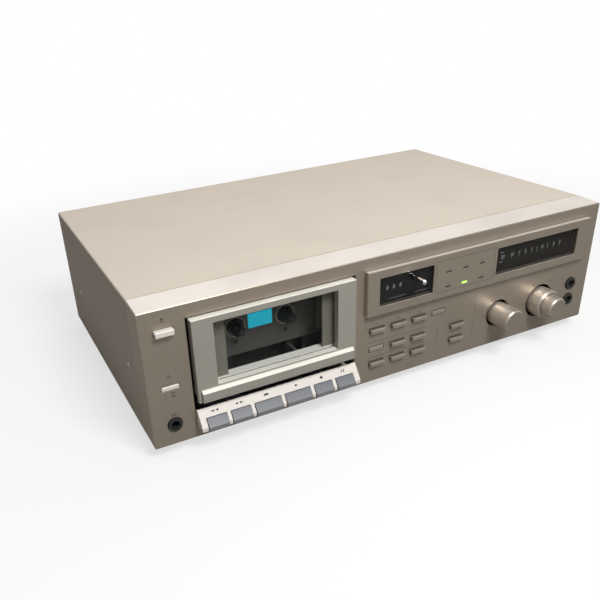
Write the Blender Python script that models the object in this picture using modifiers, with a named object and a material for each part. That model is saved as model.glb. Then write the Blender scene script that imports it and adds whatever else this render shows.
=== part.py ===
# Cassette deck of full component width, with a tilting cassette door, piano keys and two level knobs.
# Metres, +Z up, front towards -Y. The origin is below the middle of the deck, level with its feet.
# Places on the front are given as x, depth behind the front face, and height above the panel's foot.

import math

import bmesh
import bpy
from mathutils import Matrix, Vector

# Case: widths across the front add up from left to right
LEFT_MARGIN = 0.0330
BAY_W = 0.1360
BAY_TO_TRIM = 0.0087
TRIM_W = 0.2303
RIGHT_MARGIN = 0.012
PANEL_W = LEFT_MARGIN + BAY_W + BAY_TO_TRIM + TRIM_W + RIGHT_MARGIN

# Case: heights on the bay's side add up from the foot of the panel
KEY_SILL_H = 0.0093
KEY_BLOCK_H = 0.0154
LEDGE_GAP = 0.0063
DOOR_H = 0.0660
DOOR_TOP_GAP = 0.0013
BAY_TOP_MARGIN = 0.0107
PANEL_H = KEY_SILL_H + KEY_BLOCK_H + LEDGE_GAP + DOOR_H + DOOR_TOP_GAP + BAY_TOP_MARGIN
TOP_RISE = 0.0014
CASE_H = PANEL_H + TOP_RISE

CASE_DEPTH = 0.2585
PANEL_DEPTH = 0.0242
PANEL_T = 0.003
FLANGE_T = 0.0025
PANEL_EDGE = 0.0006
COVER_T = 0.001
COVER_BEND = 0.0016
PAN_T = 0.0012
PAN_FLANGE = 0.013
REAR_T = 0.0012
REAR_INSET = 0.0006
REAR_FOLD = 0.010
FOOT_H = 0.010
FOOT_R = 0.0120
FOOT_INSET_X = 0.035
FOOT_INSET_FRONT = 0.040
FOOT_INSET_REAR = 0.030

# Clearances and cuts
SEAT = 0.0003
RUNNING = 0.0002
SLOT_PLAY = 0.0005
OVERRUN = 0.002
LAP = 0.0008

# Reaches in front of the panel and behind the case
KNOB_REACH = 0.0220
REAR_REACH = 0.010

# Cassette door
DOOR_SIDE_GAP = 0.0022
DOOR_PROUD = 0.0050
LEDGE_PROUD = 0.0073
LEDGE_INSET = 0.0027
DOOR_BACK = 0.0030
LEDGE_H = 0.0091
LEDGE_BACK = 0.0010
LEDGE_STEP_H = 0.0043
WINDOW_W = 0.0998
WINDOW_BOTTOM = 0.0117
WINDOW_TOP = 0.0048
PANE_T = 0.0016
PANE_INSET = 0.0007
PANE_LAP = 0.0012
HINGE_DEPTH = 0.0050
HINGE_RISE = 0.0013
HINGE_PIN_R = 0.0015
EAR_R = 0.0033

# Cassette holder and the well behind the door
CASSETTE_W = 0.1004
CASSETTE_PLAY = 0.0007
MECH_SHIFT = 0.0007
CASSETTE_T = 0.0120
HUB_PITCH = 0.0425
HUB_RISE = 0.0356
HOLDER_WALL = 0.0015
SILL_RISE = 0.0120
SILL_T = 0.0015
SILL_DEPTH = 0.0097
LIP_DEPTH = 0.0036
LIP_T = 0.0014
LEFT_LIP_W = 0.0118
RIGHT_LIP_W = 0.0105
HOOK_W = 0.0100
HOOK_T = 0.0015
KEEPER_RISE = 0.0190
KEEPER_T = 0.0012
CASSETTE_DROP = 0.0348
WELL_GAP = 0.0091
WELL_WALL = 0.0012

# Mechanism chassis
DECK_DEPTH = 0.0286
DECK_T = 0.0015
DECK_TOP_GAP = 0.0080
BRIDGE_DEPTH = 0.0420
BRIDGE_T = 0.0012
MOTOR_PLATE_DEPTH = 0.0580
MOTOR_PLATE_T = 0.0014
PLATE_MARGIN = 0.004
DECK_FOLD = 0.012
POST_R = 0.003
SPINDLE_HOLE_R = 0.0070
SPINDLE_RING_R = 0.0080
SPINDLE_RING_T = 0.0006
LOCATING_R = 0.0012
LOCATING_DROP = 0.0134
OPENING_LEFT = 0.026
OPENING_RIGHT = 0.036
OPENING_DROP = 0.0491
HEAD_OPENING_TOP = 0.0243
LAMP_W = 0.0205
LAMP_H = 0.0123
LAMP_RISE = 0.0013
LAMP_T = 0.0016

# Moving pieces of the mechanism
SPINDLE_TIP = 0.0146
SPINDLE_POST_R = 0.0042
SPINDLE_TABLE_R = 0.0064
SPINDLE_TABLE_RISE = 0.0030
REEL_DISC_R = 0.0159
REEL_DISC_T = 0.0035
DISC_GAP = 0.0029
SPLINES = 6
SPLINE_W = 0.0012
SHAFT_R = 0.0015
CAPSTAN_OFFSET = 0.0265
CAPSTAN_R = 0.0012
TAPE_RISE = 0.0037
CAPSTAN_REACH = 0.0110
BEARING_R = 0.0040
BEARING_REACH = 0.0090
FLYWHEEL_R = 0.0240
FLYWHEEL_T = 0.0060
FLYWHEEL_HUB_R = 0.0060
FLYWHEEL_GAP = 0.0048
CARRIAGE_TRAVEL = 0.0050
CARRIAGE_T = 0.0012
CARRIAGE_LAP = 0.006
CARRIAGE_FOOT = 0.0080
CARRIAGE_TOP = 0.0200
SHELF_LEFT = 0.022
SHELF_RIGHT = 0.0195
SHELF_T = 0.0015
HEAD_W = 0.0130
HEAD_D = 0.0100
HEAD_H = 0.0097
HEAD_SHOULDER_SHARE = 0.6
ERASE_HEAD_SHARE = 0.85
ROLLER_R = 0.0055
ROLLER_L = 0.0090
ROLLER_PIN_R = 0.0010
MOTOR_R = 0.0170
MOTOR_L = 0.0283
MOTOR_OFFSET = 0.0417
SHAFT_HOLE_R = 0.0030
PULLEY_R = 0.0040
BELT_T = 0.0012
BELT_W = 0.0040
REEL_MOTOR_R = 0.0140

# Key block
KEY_BLOCK_SIDE = 0.0007
KEY_TOP_PROUD = 0.0020
KEY_FOOT_PROUD = 0.0105
KEY_FOOT_H = 0.0034
BEZEL_BACK = 0.0030
BEZEL_DROP = 0.0048
KEY_STRIP_H = 0.0063
KEY_POST = 0.0048
KEY_BAR = 0.0029
NARROW_KEY_W = 0.0164
WIDE_KEY_W = 0.0224
KEY_PROUD = 0.0120
KEY_BLOCK_BACK = 0.0012
KEY_LIP_H = 0.0005
KEY_FRONT_H = 0.0029
KEY_LEVER_T = 0.0030
KEY_PIVOT_DEPTH = 0.0120
KEY_PIVOT_H = 0.0047
KEY_ROD_R = 0.0015
KEY_HUB_R = 0.0028

# Left column
EJECT_W = 0.0147
COLUMN_INSET = 0.0170
EJECT_H = 0.0052
EJECT_DROP = 0.0169
EJECT_PROUD = 0.0045
POWER_W = 0.0141
POWER_H = 0.0043
POWER_RISE = 0.0478
POWER_PROUD = 0.0003
STEM_W = 0.0050
STEM_H = 0.0022
STEM_BACK = 0.0105
JACK_R = 0.0056
JACK_BORE_R = 0.0032
JACK_PROUD = 0.0008
JACK_BORE_DEPTH = 0.0180
JACK_BODY = 0.0140
JACK_LENGTH = 0.0200
PHONES_RISE = 0.0171

# Raised display trim
TRIM_H = 0.0373
TRIM_DROP = 0.0102
TRIM_PROUD = 0.0043
TRIM_EDGE = 0.0003
WINDOW_RISE = 0.0067
DISPLAY_H = 0.0241
COUNTER_INSET = 0.0107
COUNTER_W = 0.0510
METER_INSET = 0.0140
METER_W = 0.0901
LENS_T = 0.0018
LENS_LAP = 0.0014
TRIM_SKIN = 0.0010
LAMP_SLOT_W = 0.0055
LAMP_SLOT_H = 0.0018
LAMP_PITCH = 0.0170
LAMP_ROWS = (0.0022, 0.0151)
LAMP_CENTRE = 0.0935

# Tape counter
DRUM_R = 0.0070
DRUM_W = 0.0054
DRUM_PITCH = 0.0062
DRUM_BORE_R = 0.0018
DRUM_RISE = 0.0118
DRUM_INSET = 0.0218
DRUM_FRONT = 0.0024
DIGIT_W = 0.0046
DIGIT_H = 0.0048
MASK_T = 0.0015
CHEEK_T = 0.0012
CHEEK_REACH = 0.0120
RESET_R = 0.0020
RESET_PROUD = 0.0170
RESET_INSET = 0.0433
RESET_RISE = 0.0178
RESET_BACK = 0.0080
RESET_CROWN = 0.0008

# Small push buttons
BUTTON_W = 0.0135
BUTTON_H = 0.0038
BUTTON_PROUD = 0.0032
BUTTON_SLOT_W = 0.0147
BUTTON_SLOT_H = 0.0052
BUTTON_TRAVEL = 0.0026
BUTTON_ROWS = (0.0468, 0.0299, 0.0170)
BUTTON_INSET = 0.0119
BUTTON_PITCH = 0.0203
PAIR_INSET = 0.0928
BUTTON_EDGE = 0.0005
BUTTON_BODY_T = 0.0015
SWITCH_DEPTH = 0.0076
SWITCH_W = 0.0120
SWITCH_H = 0.0056

# Knobs
KNOB_RISE = 0.0292
OUTPUT_INSET = 0.0922
OUTPUT_RING_R = 0.0125
OUTPUT_KNOB_R = 0.0101
RECORD_INSET = 0.0441
RECORD_RING_R = 0.0155
OUTER_KNOB_R = 0.0130
OUTER_KNOB_L = 0.0120
INNER_KNOB_R = 0.0097
KNOB_SKIRT = 0.0015
KNOB_CHAMFER = 0.0012
KNOB_SHAFT_R = 0.0030
SLEEVE_R = 0.0040
CORE_R = 0.0020
SHAFT_REACH = 0.0115
POT_R = 0.0080
POT_DEPTH = 0.0058

# Microphone jacks
MIC_INSET = 0.0198
MIC_RISES = (0.0376, 0.0220)

# Boards and power supply
BOARD_T = 0.0016
BOARD_MARGIN = 0.004
CONTROL_DEPTH = 0.0140
CONTROL_FOOT = 0.0080
CONTROL_TOP = 0.0600
MAIN_H = 0.0140
MAIN_FRONT = 0.070
MAIN_REAR = 0.024
MAIN_LEFT = 0.004
MAIN_RIGHT = 0.018
STANDOFF_R = 0.0035
CAPACITOR_R = 0.0080
CAPACITOR_L = 0.0250
CAPACITORS = 5
SINK_W = 0.045
SINK_H = 0.030
SINK_T = 0.003
SINK_FINS = 5
CORE_W = 0.060
CORE_D = 0.048
CORE_H = 0.052
COIL_BULGE = 0.009
COIL_W_SHARE = 0.55
COIL_H_SHARE = 0.66
TRANSFORMER_INSET = 0.056
TRANSFORMER_REAR = 0.056

# Rear sockets
LINE_PITCH_X = 0.0200
LINE_PITCH_Z = 0.0180
LINE_INSET = 0.070
LINE_RISE = 0.062
LINE_PLATE_T = 0.0012
LINE_MARGIN = 0.0100
BARREL_R = 0.0042
PIN_BORE_R = 0.0022
LINE_HOLE_R = 0.0052
GLAND_INSET = 0.048
GLAND_RISE = 0.030
GLAND_R = 0.0062
GLAND_BORE_R = 0.0032
GLAND_FLANGE_R = 0.0085
GLAND_FLANGE_T = 0.0020
GLAND_REACH = 0.0080

# Vents in the base
VENT_L = 0.034
VENT_W = 0.003
VENT_PITCH = 0.008
VENT_COUNT = 6

# Sides of the round shapes
FINE_SIDES = 32
ROUND_SIDES = 20
SMALL_SIDES = 12
SMOOTH_ANGLE = math.radians(35)

# Places worked out from the sizes above
FRONT_Y = (KNOB_REACH - CASE_DEPTH - REAR_REACH) / 2
LEFT_X = -PANEL_W / 2
RIGHT_X = PANEL_W / 2
BAY_LEFT = LEFT_X + LEFT_MARGIN
BAY_RIGHT = BAY_LEFT + BAY_W
BAY_X = (BAY_LEFT + BAY_RIGHT) / 2
BAY_FOOT = KEY_SILL_H
BAY_TOP = PANEL_H - BAY_TOP_MARGIN
COLUMN_X = LEFT_X + COLUMN_INSET
MECH_X = BAY_X + MECH_SHIFT
TRIM_LEFT = BAY_RIGHT + BAY_TO_TRIM
TRIM_RIGHT = TRIM_LEFT + TRIM_W
TRIM_TOP = PANEL_H - TRIM_DROP
TRIM_FOOT = TRIM_TOP - TRIM_H
DISPLAY_FOOT = TRIM_FOOT + WINDOW_RISE
DISPLAY_TOP = DISPLAY_FOOT + DISPLAY_H
COUNTER_LEFT = TRIM_LEFT + COUNTER_INSET
COUNTER_RIGHT = COUNTER_LEFT + COUNTER_W
METER_RIGHT = TRIM_RIGHT - METER_INSET
METER_LEFT = METER_RIGHT - METER_W
LAMP_X = TRIM_LEFT + LAMP_CENTRE

DOOR_LEFT = BAY_LEFT + DOOR_SIDE_GAP
DOOR_RIGHT = BAY_RIGHT - DOOR_SIDE_GAP
DOOR_FOOT = KEY_SILL_H + KEY_BLOCK_H + LEDGE_GAP
DOOR_TOP = DOOR_FOOT + DOOR_H
LEDGE_TOP = DOOR_FOOT + LEDGE_H
HINGE_H = DOOR_FOOT + HINGE_RISE
STEP_H = DOOR_FOOT + LEDGE_STEP_H
WINDOW_LEFT = BAY_X - WINDOW_W / 2
WINDOW_RIGHT = BAY_X + WINDOW_W / 2
WINDOW_FOOT = DOOR_FOOT + WINDOW_BOTTOM
WINDOW_HEAD = DOOR_TOP - WINDOW_TOP

HUB_H = DOOR_FOOT + HUB_RISE
CASSETTE_FOOT = HUB_H - CASSETTE_DROP
CASSETTE_FRONT = SILL_DEPTH + SEAT
CASSETTE_BACK = CASSETTE_FRONT + CASSETTE_T
HOLDER_IN = CASSETTE_W / 2 + CASSETTE_PLAY
HOLDER_OUT = HOLDER_IN + HOLDER_WALL
WELL_IN = HOLDER_OUT + WELL_GAP
WELL_OUT = WELL_IN + WELL_WALL
SILL_H = DOOR_FOOT + SILL_RISE
TAPE_H = CASSETTE_FOOT + TAPE_RISE
CAPSTAN_X = MECH_X + CAPSTAN_OFFSET
DECK_BACK = DECK_DEPTH + DECK_T
BRIDGE_BACK = BRIDGE_DEPTH + BRIDGE_T
MOTOR_PLATE_BACK = MOTOR_PLATE_DEPTH + MOTOR_PLATE_T
OPENING_TOP = HUB_H - HEAD_OPENING_TOP
OPENING_FOOT = HUB_H - OPENING_DROP
DECK_LEFT = MECH_X - WELL_OUT
DECK_RIGHT = MECH_X + WELL_OUT
DECK_FOOT = 2 * SEAT + PAN_T
DECK_TOP = PANEL_H - DECK_TOP_GAP
ROLLER_H = TAPE_H - CAPSTAN_R - SEAT - ROLLER_R - CARRIAGE_TRAVEL

BLOCK_LEFT = BAY_LEFT + KEY_BLOCK_SIDE
BLOCK_RIGHT = BAY_RIGHT - KEY_BLOCK_SIDE
BLOCK_TOP = KEY_SILL_H + KEY_BLOCK_H
BLOCK_FOOT = KEY_SILL_H + SEAT
KEY_PIVOT_Z = KEY_SILL_H + KEY_PIVOT_H
KEY_TOP = BLOCK_TOP - KEY_STRIP_H
OUTPUT_X = TRIM_RIGHT - OUTPUT_INSET
RECORD_X = TRIM_RIGHT - RECORD_INSET
MIC_X = RIGHT_X - MIC_INSET
PAN_HALF = PANEL_W / 2 - COVER_T - SEAT
PAN_TOP = SEAT + PAN_T
REAR_FACE = CASE_DEPTH - REAR_INSET
CONTROL_BACK = CONTROL_DEPTH + BOARD_T

# Finishes: colour, roughness, metallic
FINISHES = {
    "panel": ((0.34, 0.30, 0.26), 0.42, 0.7),
    "cover": ((0.62, 0.55, 0.46), 0.5, 0.2),
    "steel": ((0.55, 0.55, 0.54), 0.35, 1.0),
    "rear": ((0.20, 0.20, 0.20), 0.5, 0.6),
    "door": ((0.33, 0.32, 0.28), 0.38, 0.6),
    "clear": ((0.55, 0.58, 0.56), 0.08, 0.0),
    "smoke": ((0.02, 0.02, 0.02), 0.1, 0.0),
    "well": ((0.05, 0.05, 0.05), 0.5, 0.0),
    "holder": ((0.30, 0.30, 0.26), 0.5, 0.0),
    "lamp": ((0.03, 0.55, 0.75), 0.3, 0.0),
    "cream": ((0.80, 0.75, 0.66), 0.45, 0.0),
    "key": ((0.28, 0.31, 0.37), 0.35, 0.3),
    "knob": ((0.68, 0.60, 0.52), 0.3, 0.9),
    "button": ((0.42, 0.38, 0.33), 0.4, 0.4),
    "rubber": ((0.03, 0.03, 0.03), 0.8, 0.0),
    "board": ((0.30, 0.24, 0.12), 0.6, 0.0),
    "drum": ((0.04, 0.04, 0.04), 0.5, 0.0),
    "brass": ((0.60, 0.45, 0.20), 0.35, 1.0),
    "black": ((0.03, 0.03, 0.03), 0.45, 0.0),
}


def clear_scene():
    for obj in list(bpy.data.objects):
        bpy.data.objects.remove(obj, do_unlink=True)


def new_group(name):
    group = bpy.data.collections.new(name)
    bpy.context.scene.collection.children.link(group)
    return group


clear_scene()
PARTS = new_group("cassette_deck")
CUTTERS = new_group("cutters")


def at(x, depth, height):
    """World place of a point given by the front panel's own measures."""
    return Vector((x, FRONT_Y + depth, FOOT_H + height))


def middle(span):
    return (span[0] + span[1]) / 2


def around(centre, width):
    return (centre - width / 2, centre + width / 2)


def to_object(name, bm):
    mesh = bpy.data.meshes.new(name)
    bm.to_mesh(mesh)
    bm.free()
    obj = bpy.data.objects.new(name, mesh)
    PARTS.objects.link(obj)
    return obj


def box(name, xs, depths, heights, edge=0):
    """A block between pairs of x, depth and height, with its edges rounded by edge."""
    bm = bmesh.new()
    bmesh.ops.create_cube(bm, size=1)
    size = (xs[1] - xs[0], depths[1] - depths[0], heights[1] - heights[0])
    bmesh.ops.scale(bm, vec=size, verts=bm.verts)
    bmesh.ops.translate(bm, vec=at(middle(xs), middle(depths), middle(heights)), verts=bm.verts)
    if edge:
        bmesh.ops.bevel(bm, geom=bm.edges[:], offset=edge, segments=1, profile=0.5, affect="EDGES")
    return to_object(name, bm)


def rod(name, axis, centre, span, radius, sides=ROUND_SIDES):
    """A cylinder along axis X, Y or Z; centre holds the other two places, in the order x, depth, height."""
    bm = bmesh.new()
    length = span[1] - span[0]
    bmesh.ops.create_cone(
        bm, cap_ends=True, segments=sides, radius1=radius, radius2=radius, depth=length
    )
    place = list(centre)
    place.insert("XYZ".index(axis), middle(span))
    turns = {"X": Matrix.Rotation(math.pi / 2, 4, "Y"), "Y": Matrix.Rotation(-math.pi / 2, 4, "X")}
    bmesh.ops.transform(bm, matrix=turns.get(axis, Matrix.Identity(4)), verts=bm.verts)
    bmesh.ops.translate(bm, vec=at(*place), verts=bm.verts)
    obj = to_object(name, bm)
    smooth(obj)
    return obj


def smooth(obj):
    obj.data.shade_smooth()
    obj.data.set_sharp_from_angle(angle=SMOOTH_ANGLE)


def outline_mesh(name, points, thickness):
    """A flat outline drawn as a filled curve, then made a welded mesh centred on its own plane."""
    curve = bpy.data.curves.new(name, "CURVE")
    curve.dimensions = "2D"
    curve.fill_mode = "BOTH"
    curve.extrude = thickness / 2
    spline = curve.splines.new("POLY")
    spline.points.add(len(points) - 1)
    for knot, (u, v) in zip(spline.points, points):
        knot.co = (u, v, 0, 1)
    spline.use_cyclic_u = True
    drawn = bpy.data.objects.new(f"{name}_outline", curve)
    PARTS.objects.link(drawn)
    graph = bpy.context.evaluated_depsgraph_get()
    mesh = bpy.data.meshes.new_from_object(drawn.evaluated_get(graph))
    bpy.data.objects.remove(drawn)
    bm = bmesh.new()
    bm.from_mesh(mesh)
    bpy.data.meshes.remove(mesh)
    bmesh.ops.remove_doubles(bm, verts=bm.verts, dist=LAP / 100)
    bmesh.ops.recalc_face_normals(bm, faces=bm.faces)
    return bm


def section(name, points, xs):
    """A solid of one section, given as depth and height, along x."""
    bm = outline_mesh(name, points, xs[1] - xs[0])
    swap = Matrix(((0, 0, 1, 0), (1, 0, 0, 0), (0, 1, 0, 0), (0, 0, 0, 1)))
    bmesh.ops.transform(bm, matrix=swap, verts=bm.verts)
    bmesh.ops.translate(bm, vec=at(middle(xs), 0, 0), verts=bm.verts)
    return to_object(name, bm)


def plate(name, points, depths):
    """A flat plate of one outline, given as x and height, between two depths."""
    bm = outline_mesh(name, points, depths[1] - depths[0])
    stand = Matrix.Rotation(math.pi / 2, 4, "X")
    bmesh.ops.transform(bm, matrix=stand, verts=bm.verts)
    bmesh.ops.translate(bm, vec=at(0, middle(depths), 0), verts=bm.verts)
    return to_object(name, bm)


def turned(name, profile, place, axis="Y", closed=False, sides=FINE_SIDES):
    """A turned piece: pairs of radius and reach, listed down the outer side, about an axis through place.

    On Y the reach counts forward from the front face, on X and Z along the axis from place."""
    mesh = bpy.data.meshes.new(name)
    edges = [(k, k + 1) for k in range(len(profile) - 1)]
    if closed:
        edges.append((len(profile) - 1, 0))
    mesh.from_pydata([(radius, 0, reach) for radius, reach in profile], edges, [])
    obj = bpy.data.objects.new(name, mesh)
    PARTS.objects.link(obj)
    obj.location = at(*place)
    if axis == "Y":
        obj.rotation_euler = (math.pi / 2, 0, 0)
    if axis == "X":
        obj.rotation_euler = (0, math.pi / 2, 0)
    screw = obj.modifiers.new("turn", "SCREW")
    screw.axis = "Z"
    screw.steps = sides
    screw.render_steps = sides
    screw.use_merge_vertices = True
    screw.merge_threshold = LAP / 100
    screw.use_smooth_shade = True
    bpy.context.view_layer.update()
    return obj


def arc(centre, radius_u, radius_v, start, end, steps):
    """Points of an arc of an ellipse, angles in degrees."""
    points = []
    for k in range(steps + 1):
        angle = math.radians(start + (end - start) * k / steps)
        points.append((centre[0] + radius_u * math.cos(angle), centre[1] + radius_v * math.sin(angle)))
    return points


def combine(target, tool, operation):
    PARTS.objects.unlink(tool)
    CUTTERS.objects.link(tool)
    tool.hide_render = True
    tool.display_type = "WIRE"
    step = target.modifiers.new(f"{operation.lower()}_{tool.name}", "BOOLEAN")
    step.operation = operation
    step.solver = "EXACT"
    step.object = tool


def cut(target, *tools):
    for tool in tools:
        combine(target, tool, "DIFFERENCE")


def join(target, *tools):
    for tool in tools:
        combine(target, tool, "UNION")


def soften(obj, width, segments=1):
    """Rounds the sharp edges; added before any cut, so that the cuts stay crisp."""
    bevel = obj.modifiers.new("rounded_edges", "BEVEL")
    bevel.width = width
    bevel.segments = segments
    bevel.limit_method = "ANGLE"
    bevel.angle_limit = SMOOTH_ANGLE
    return obj


def finish(obj, look):
    colour, roughness, metallic = FINISHES[look]
    material = bpy.data.materials.new(f"{obj.name}_finish")
    material.use_nodes = True
    shader = material.node_tree.nodes["Principled BSDF"]
    shader.inputs["Base Color"].default_value = (*colour, 1)
    shader.inputs["Roughness"].default_value = roughness
    shader.inputs["Metallic"].default_value = metallic
    obj.data.materials.clear()
    obj.data.materials.append(material)
    return obj


def pivot(obj, place):
    """Moves the origin to place, with the shape left where it is."""
    centre = at(*place)
    obj.data.transform(Matrix.Translation(-centre))
    obj.location = centre
    return obj


def slot(name, x, height, width, tall, depths=(-OVERRUN, PANEL_T + OVERRUN)):
    return box(name, around(x, width), depths, around(height, tall))


def hole(name, x, height, radius, depths=(-OVERRUN, PANEL_T + OVERRUN), sides=ROUND_SIDES):
    return rod(name, "Y", (x, height), depths, radius, sides)


def button_places():
    """Name, x, height and whether pushed in, for each of the twelve small buttons."""
    first = TRIM_LEFT + BUTTON_INSET
    pair = TRIM_LEFT + PAIR_INSET
    tops = ("tape_type_one", "tape_type_two", "tape_type_three", "tape_type_auto")
    middles = ("timer_off", "timer_play", "timer_record")
    lowers = ("filter_off", "filter_low", "filter_high")
    places = []
    for row, names in enumerate((tops, middles, lowers)):
        for column, name in enumerate(names):
            pushed = name in ("tape_type_auto", "timer_off")
            places.append((f"{name}_button", first + BUTTON_PITCH * column, BUTTON_ROWS[row], pushed))
    places.append(("monitor_button", pair, BUTTON_ROWS[1], False))
    places.append(("memory_button", pair, BUTTON_ROWS[2], False))
    return places


def key_places():
    """Name and left and right edge of each of the six keys."""
    names = ("rewind_key", "fast_forward_key", "stop_key", "play_key", "record_key", "pause_key")
    edge = BLOCK_LEFT + KEY_POST
    spare = (BLOCK_RIGHT - BLOCK_LEFT) - 2 * KEY_POST - 5 * KEY_BAR
    unit = spare / (4 * NARROW_KEY_W + 2 * WIDE_KEY_W)
    places = []
    for name in names:
        width = unit * (WIDE_KEY_W if name in ("stop_key", "play_key") else NARROW_KEY_W)
        places.append((name, edge, edge + width))
        edge += width + KEY_BAR
    return places


def lamp_places():
    return [
        (LAMP_X + LAMP_PITCH * column, DISPLAY_FOOT + rise) for rise in LAMP_ROWS for column in (-1, 0, 1)
    ]


def line_places():
    """Centres of the four line sockets on the back, as x and height."""
    x = RIGHT_X - LINE_INSET
    return [
        (x + LINE_PITCH_X * side / 2, LINE_RISE + LINE_PITCH_Z * level / 2)
        for side in (-1, 1)
        for level in (-1, 1)
    ]


def foot_places():
    return {
        "foot_front_left": (LEFT_X + FOOT_INSET_X, FOOT_INSET_FRONT),
        "foot_front_right": (RIGHT_X - FOOT_INSET_X, FOOT_INSET_FRONT),
        "foot_rear_left": (LEFT_X + FOOT_INSET_X, CASE_DEPTH - FOOT_INSET_REAR),
        "foot_rear_right": (RIGHT_X - FOOT_INSET_X, CASE_DEPTH - FOOT_INSET_REAR),
    }


def front_panel():
    rise = TOP_RISE / PANEL_DEPTH
    body = [(0, 0), (PANEL_DEPTH, 0), (PANEL_DEPTH, CASE_H), (0, PANEL_H)]
    panel = soften(section("front_panel", body, (LEFT_X, RIGHT_X)), PANEL_EDGE)
    back = PANEL_DEPTH + OVERRUN
    hollow = [
        (PANEL_T, FLANGE_T),
        (back, FLANGE_T),
        (back, PANEL_H + rise * back - FLANGE_T),
        (PANEL_T, PANEL_H + rise * PANEL_T - FLANGE_T),
    ]
    cut(panel, section("panel_hollow", hollow, (LEFT_X + FLANGE_T, RIGHT_X - FLANGE_T)))
    through = (-OVERRUN, PANEL_T + OVERRUN)
    display = (DISPLAY_FOOT, DISPLAY_TOP)
    cut(panel, box("bay_cut", (BAY_LEFT, BAY_RIGHT), through, (BAY_FOOT, BAY_TOP)))
    cut(panel, box("counter_cut", (COUNTER_LEFT, COUNTER_RIGHT), through, display))
    cut(panel, box("meter_cut", (METER_LEFT, METER_RIGHT), through, display))
    lamps = around(LAMP_X, 2 * LAMP_PITCH + 2 * LAMP_SLOT_W)
    cut(panel, box("lamp_cut", lamps, through, display))
    for name, x, height, _ in button_places():
        cut(panel, slot(f"{name}_slot", x, height, BUTTON_SLOT_W, BUTTON_SLOT_H))
    cut(panel, slot("eject_slot", COLUMN_X, PANEL_H - EJECT_DROP, EJECT_W, EJECT_H))
    cut(panel, slot("power_slot", COLUMN_X, POWER_RISE, POWER_W, POWER_H))
    cut(panel, hole("phones_hole", COLUMN_X, PHONES_RISE, JACK_R + SEAT))
    for k, rise in enumerate(MIC_RISES):
        cut(panel, hole(f"mic_hole_{k}", MIC_X, rise, JACK_R + SEAT))
    cut(panel, hole("output_ring", OUTPUT_X, KNOB_RISE, OUTPUT_RING_R, sides=FINE_SIDES))
    cut(panel, hole("record_ring", RECORD_X, KNOB_RISE, RECORD_RING_R, sides=FINE_SIDES))
    return finish(panel, "panel")


def top_cover():
    """An open skin of top and two sides, given its thickness inwards."""
    bm = bmesh.new()
    bmesh.ops.create_cube(bm, size=1)
    front = PANEL_DEPTH + SEAT
    size = (PANEL_W, CASE_DEPTH - front, CASE_H - SEAT)
    bmesh.ops.scale(bm, vec=size, verts=bm.verts)
    bmesh.ops.translate(bm, vec=at(0, middle((front, CASE_DEPTH)), middle((SEAT, CASE_H))), verts=bm.verts)
    bm.faces.ensure_lookup_table()
    away = [face for face in bm.faces if abs(face.normal.y) > 0.5 or face.normal.z < -0.5]
    bmesh.ops.delete(bm, geom=away, context="FACES")
    cover = to_object("top_cover", bm)
    soften(cover, COVER_BEND, 4)
    skin = cover.modifiers.new("sheet", "SOLIDIFY")
    skin.thickness = COVER_T
    skin.offset = -1
    skin.use_even_offset = True
    return finish(cover, "cover")


def base_pan():
    """A tray of sheet with turned-up flanges, standoffs for the board and vents below the hot pieces."""
    front = PANEL_DEPTH + SEAT
    back = REAR_FACE - REAR_T - SEAT
    bm = bmesh.new()
    bmesh.ops.create_cube(bm, size=1)
    bmesh.ops.scale(bm, vec=(2 * PAN_HALF, back - front, PAN_FLANGE), verts=bm.verts)
    lift = at(0, middle((front, back)), SEAT + PAN_FLANGE / 2)
    bmesh.ops.translate(bm, vec=lift, verts=bm.verts)
    bm.faces.ensure_lookup_table()
    bmesh.ops.delete(bm, geom=[face for face in bm.faces if face.normal.z > 0.5], context="FACES")
    pan = to_object("base_pan", bm)
    sheet = pan.modifiers.new("sheet", "SOLIDIFY")
    sheet.thickness = PAN_T
    sheet.offset = -1
    sheet.use_even_offset = True
    for k, (x, depth) in enumerate(standoff_places()):
        stand = (PAN_TOP - LAP, MAIN_H - SEAT)
        join(pan, rod(f"standoff_{k}", "Z", (x, depth), stand, STANDOFF_R, SMALL_SIDES))
    for k in range(VENT_COUNT):
        depth = CASE_DEPTH - TRANSFORMER_REAR + VENT_PITCH * (k - VENT_COUNT / 2)
        for side, x in (("left", LEFT_X + TRANSFORMER_INSET), ("right", RIGHT_X / 2)):
            through = (-OVERRUN, PAN_TOP + OVERRUN)
            cut(pan, box(f"vent_{side}_{k}", around(x, VENT_L), around(depth, VENT_W), through))
    return finish(pan, "steel")


def board_span():
    """Left and right edge, then front and back edge, of the main board."""
    return (TRIM_LEFT + MAIN_LEFT, RIGHT_X - MAIN_RIGHT), (MAIN_FRONT, CASE_DEPTH - MAIN_REAR)


def standoff_places():
    (left, right), (front, back) = board_span()
    inset = 2 * STANDOFF_R
    xs = (left + inset, middle((left, right)), right - inset)
    return [(x, depth) for x in xs for depth in (front + inset, back - inset)]


def rear_panel():
    depths = (REAR_FACE - REAR_T, REAR_FACE)
    sides = (-PAN_HALF, PAN_HALF)
    top = CASE_H - COVER_T - SEAT
    panel = box("rear_panel", sides, depths, (SEAT, top))
    fold = (REAR_FACE - REAR_FOLD, REAR_FACE - REAR_T + LAP)
    join(panel, box("rear_fold", (-PAN_HALF + REAR_FOLD, PAN_HALF - REAR_FOLD), fold, (top - REAR_T, top)))
    through = (REAR_FACE - REAR_T - OVERRUN, REAR_FACE + OVERRUN)
    for k, (x, height) in enumerate(line_places()):
        cut(panel, hole(f"line_hole_{k}", x, height, LINE_HOLE_R, through))
    cut(panel, hole("gland_hole", LEFT_X + GLAND_INSET, GLAND_RISE, GLAND_R + SEAT, through))
    return finish(panel, "rear")


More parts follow.
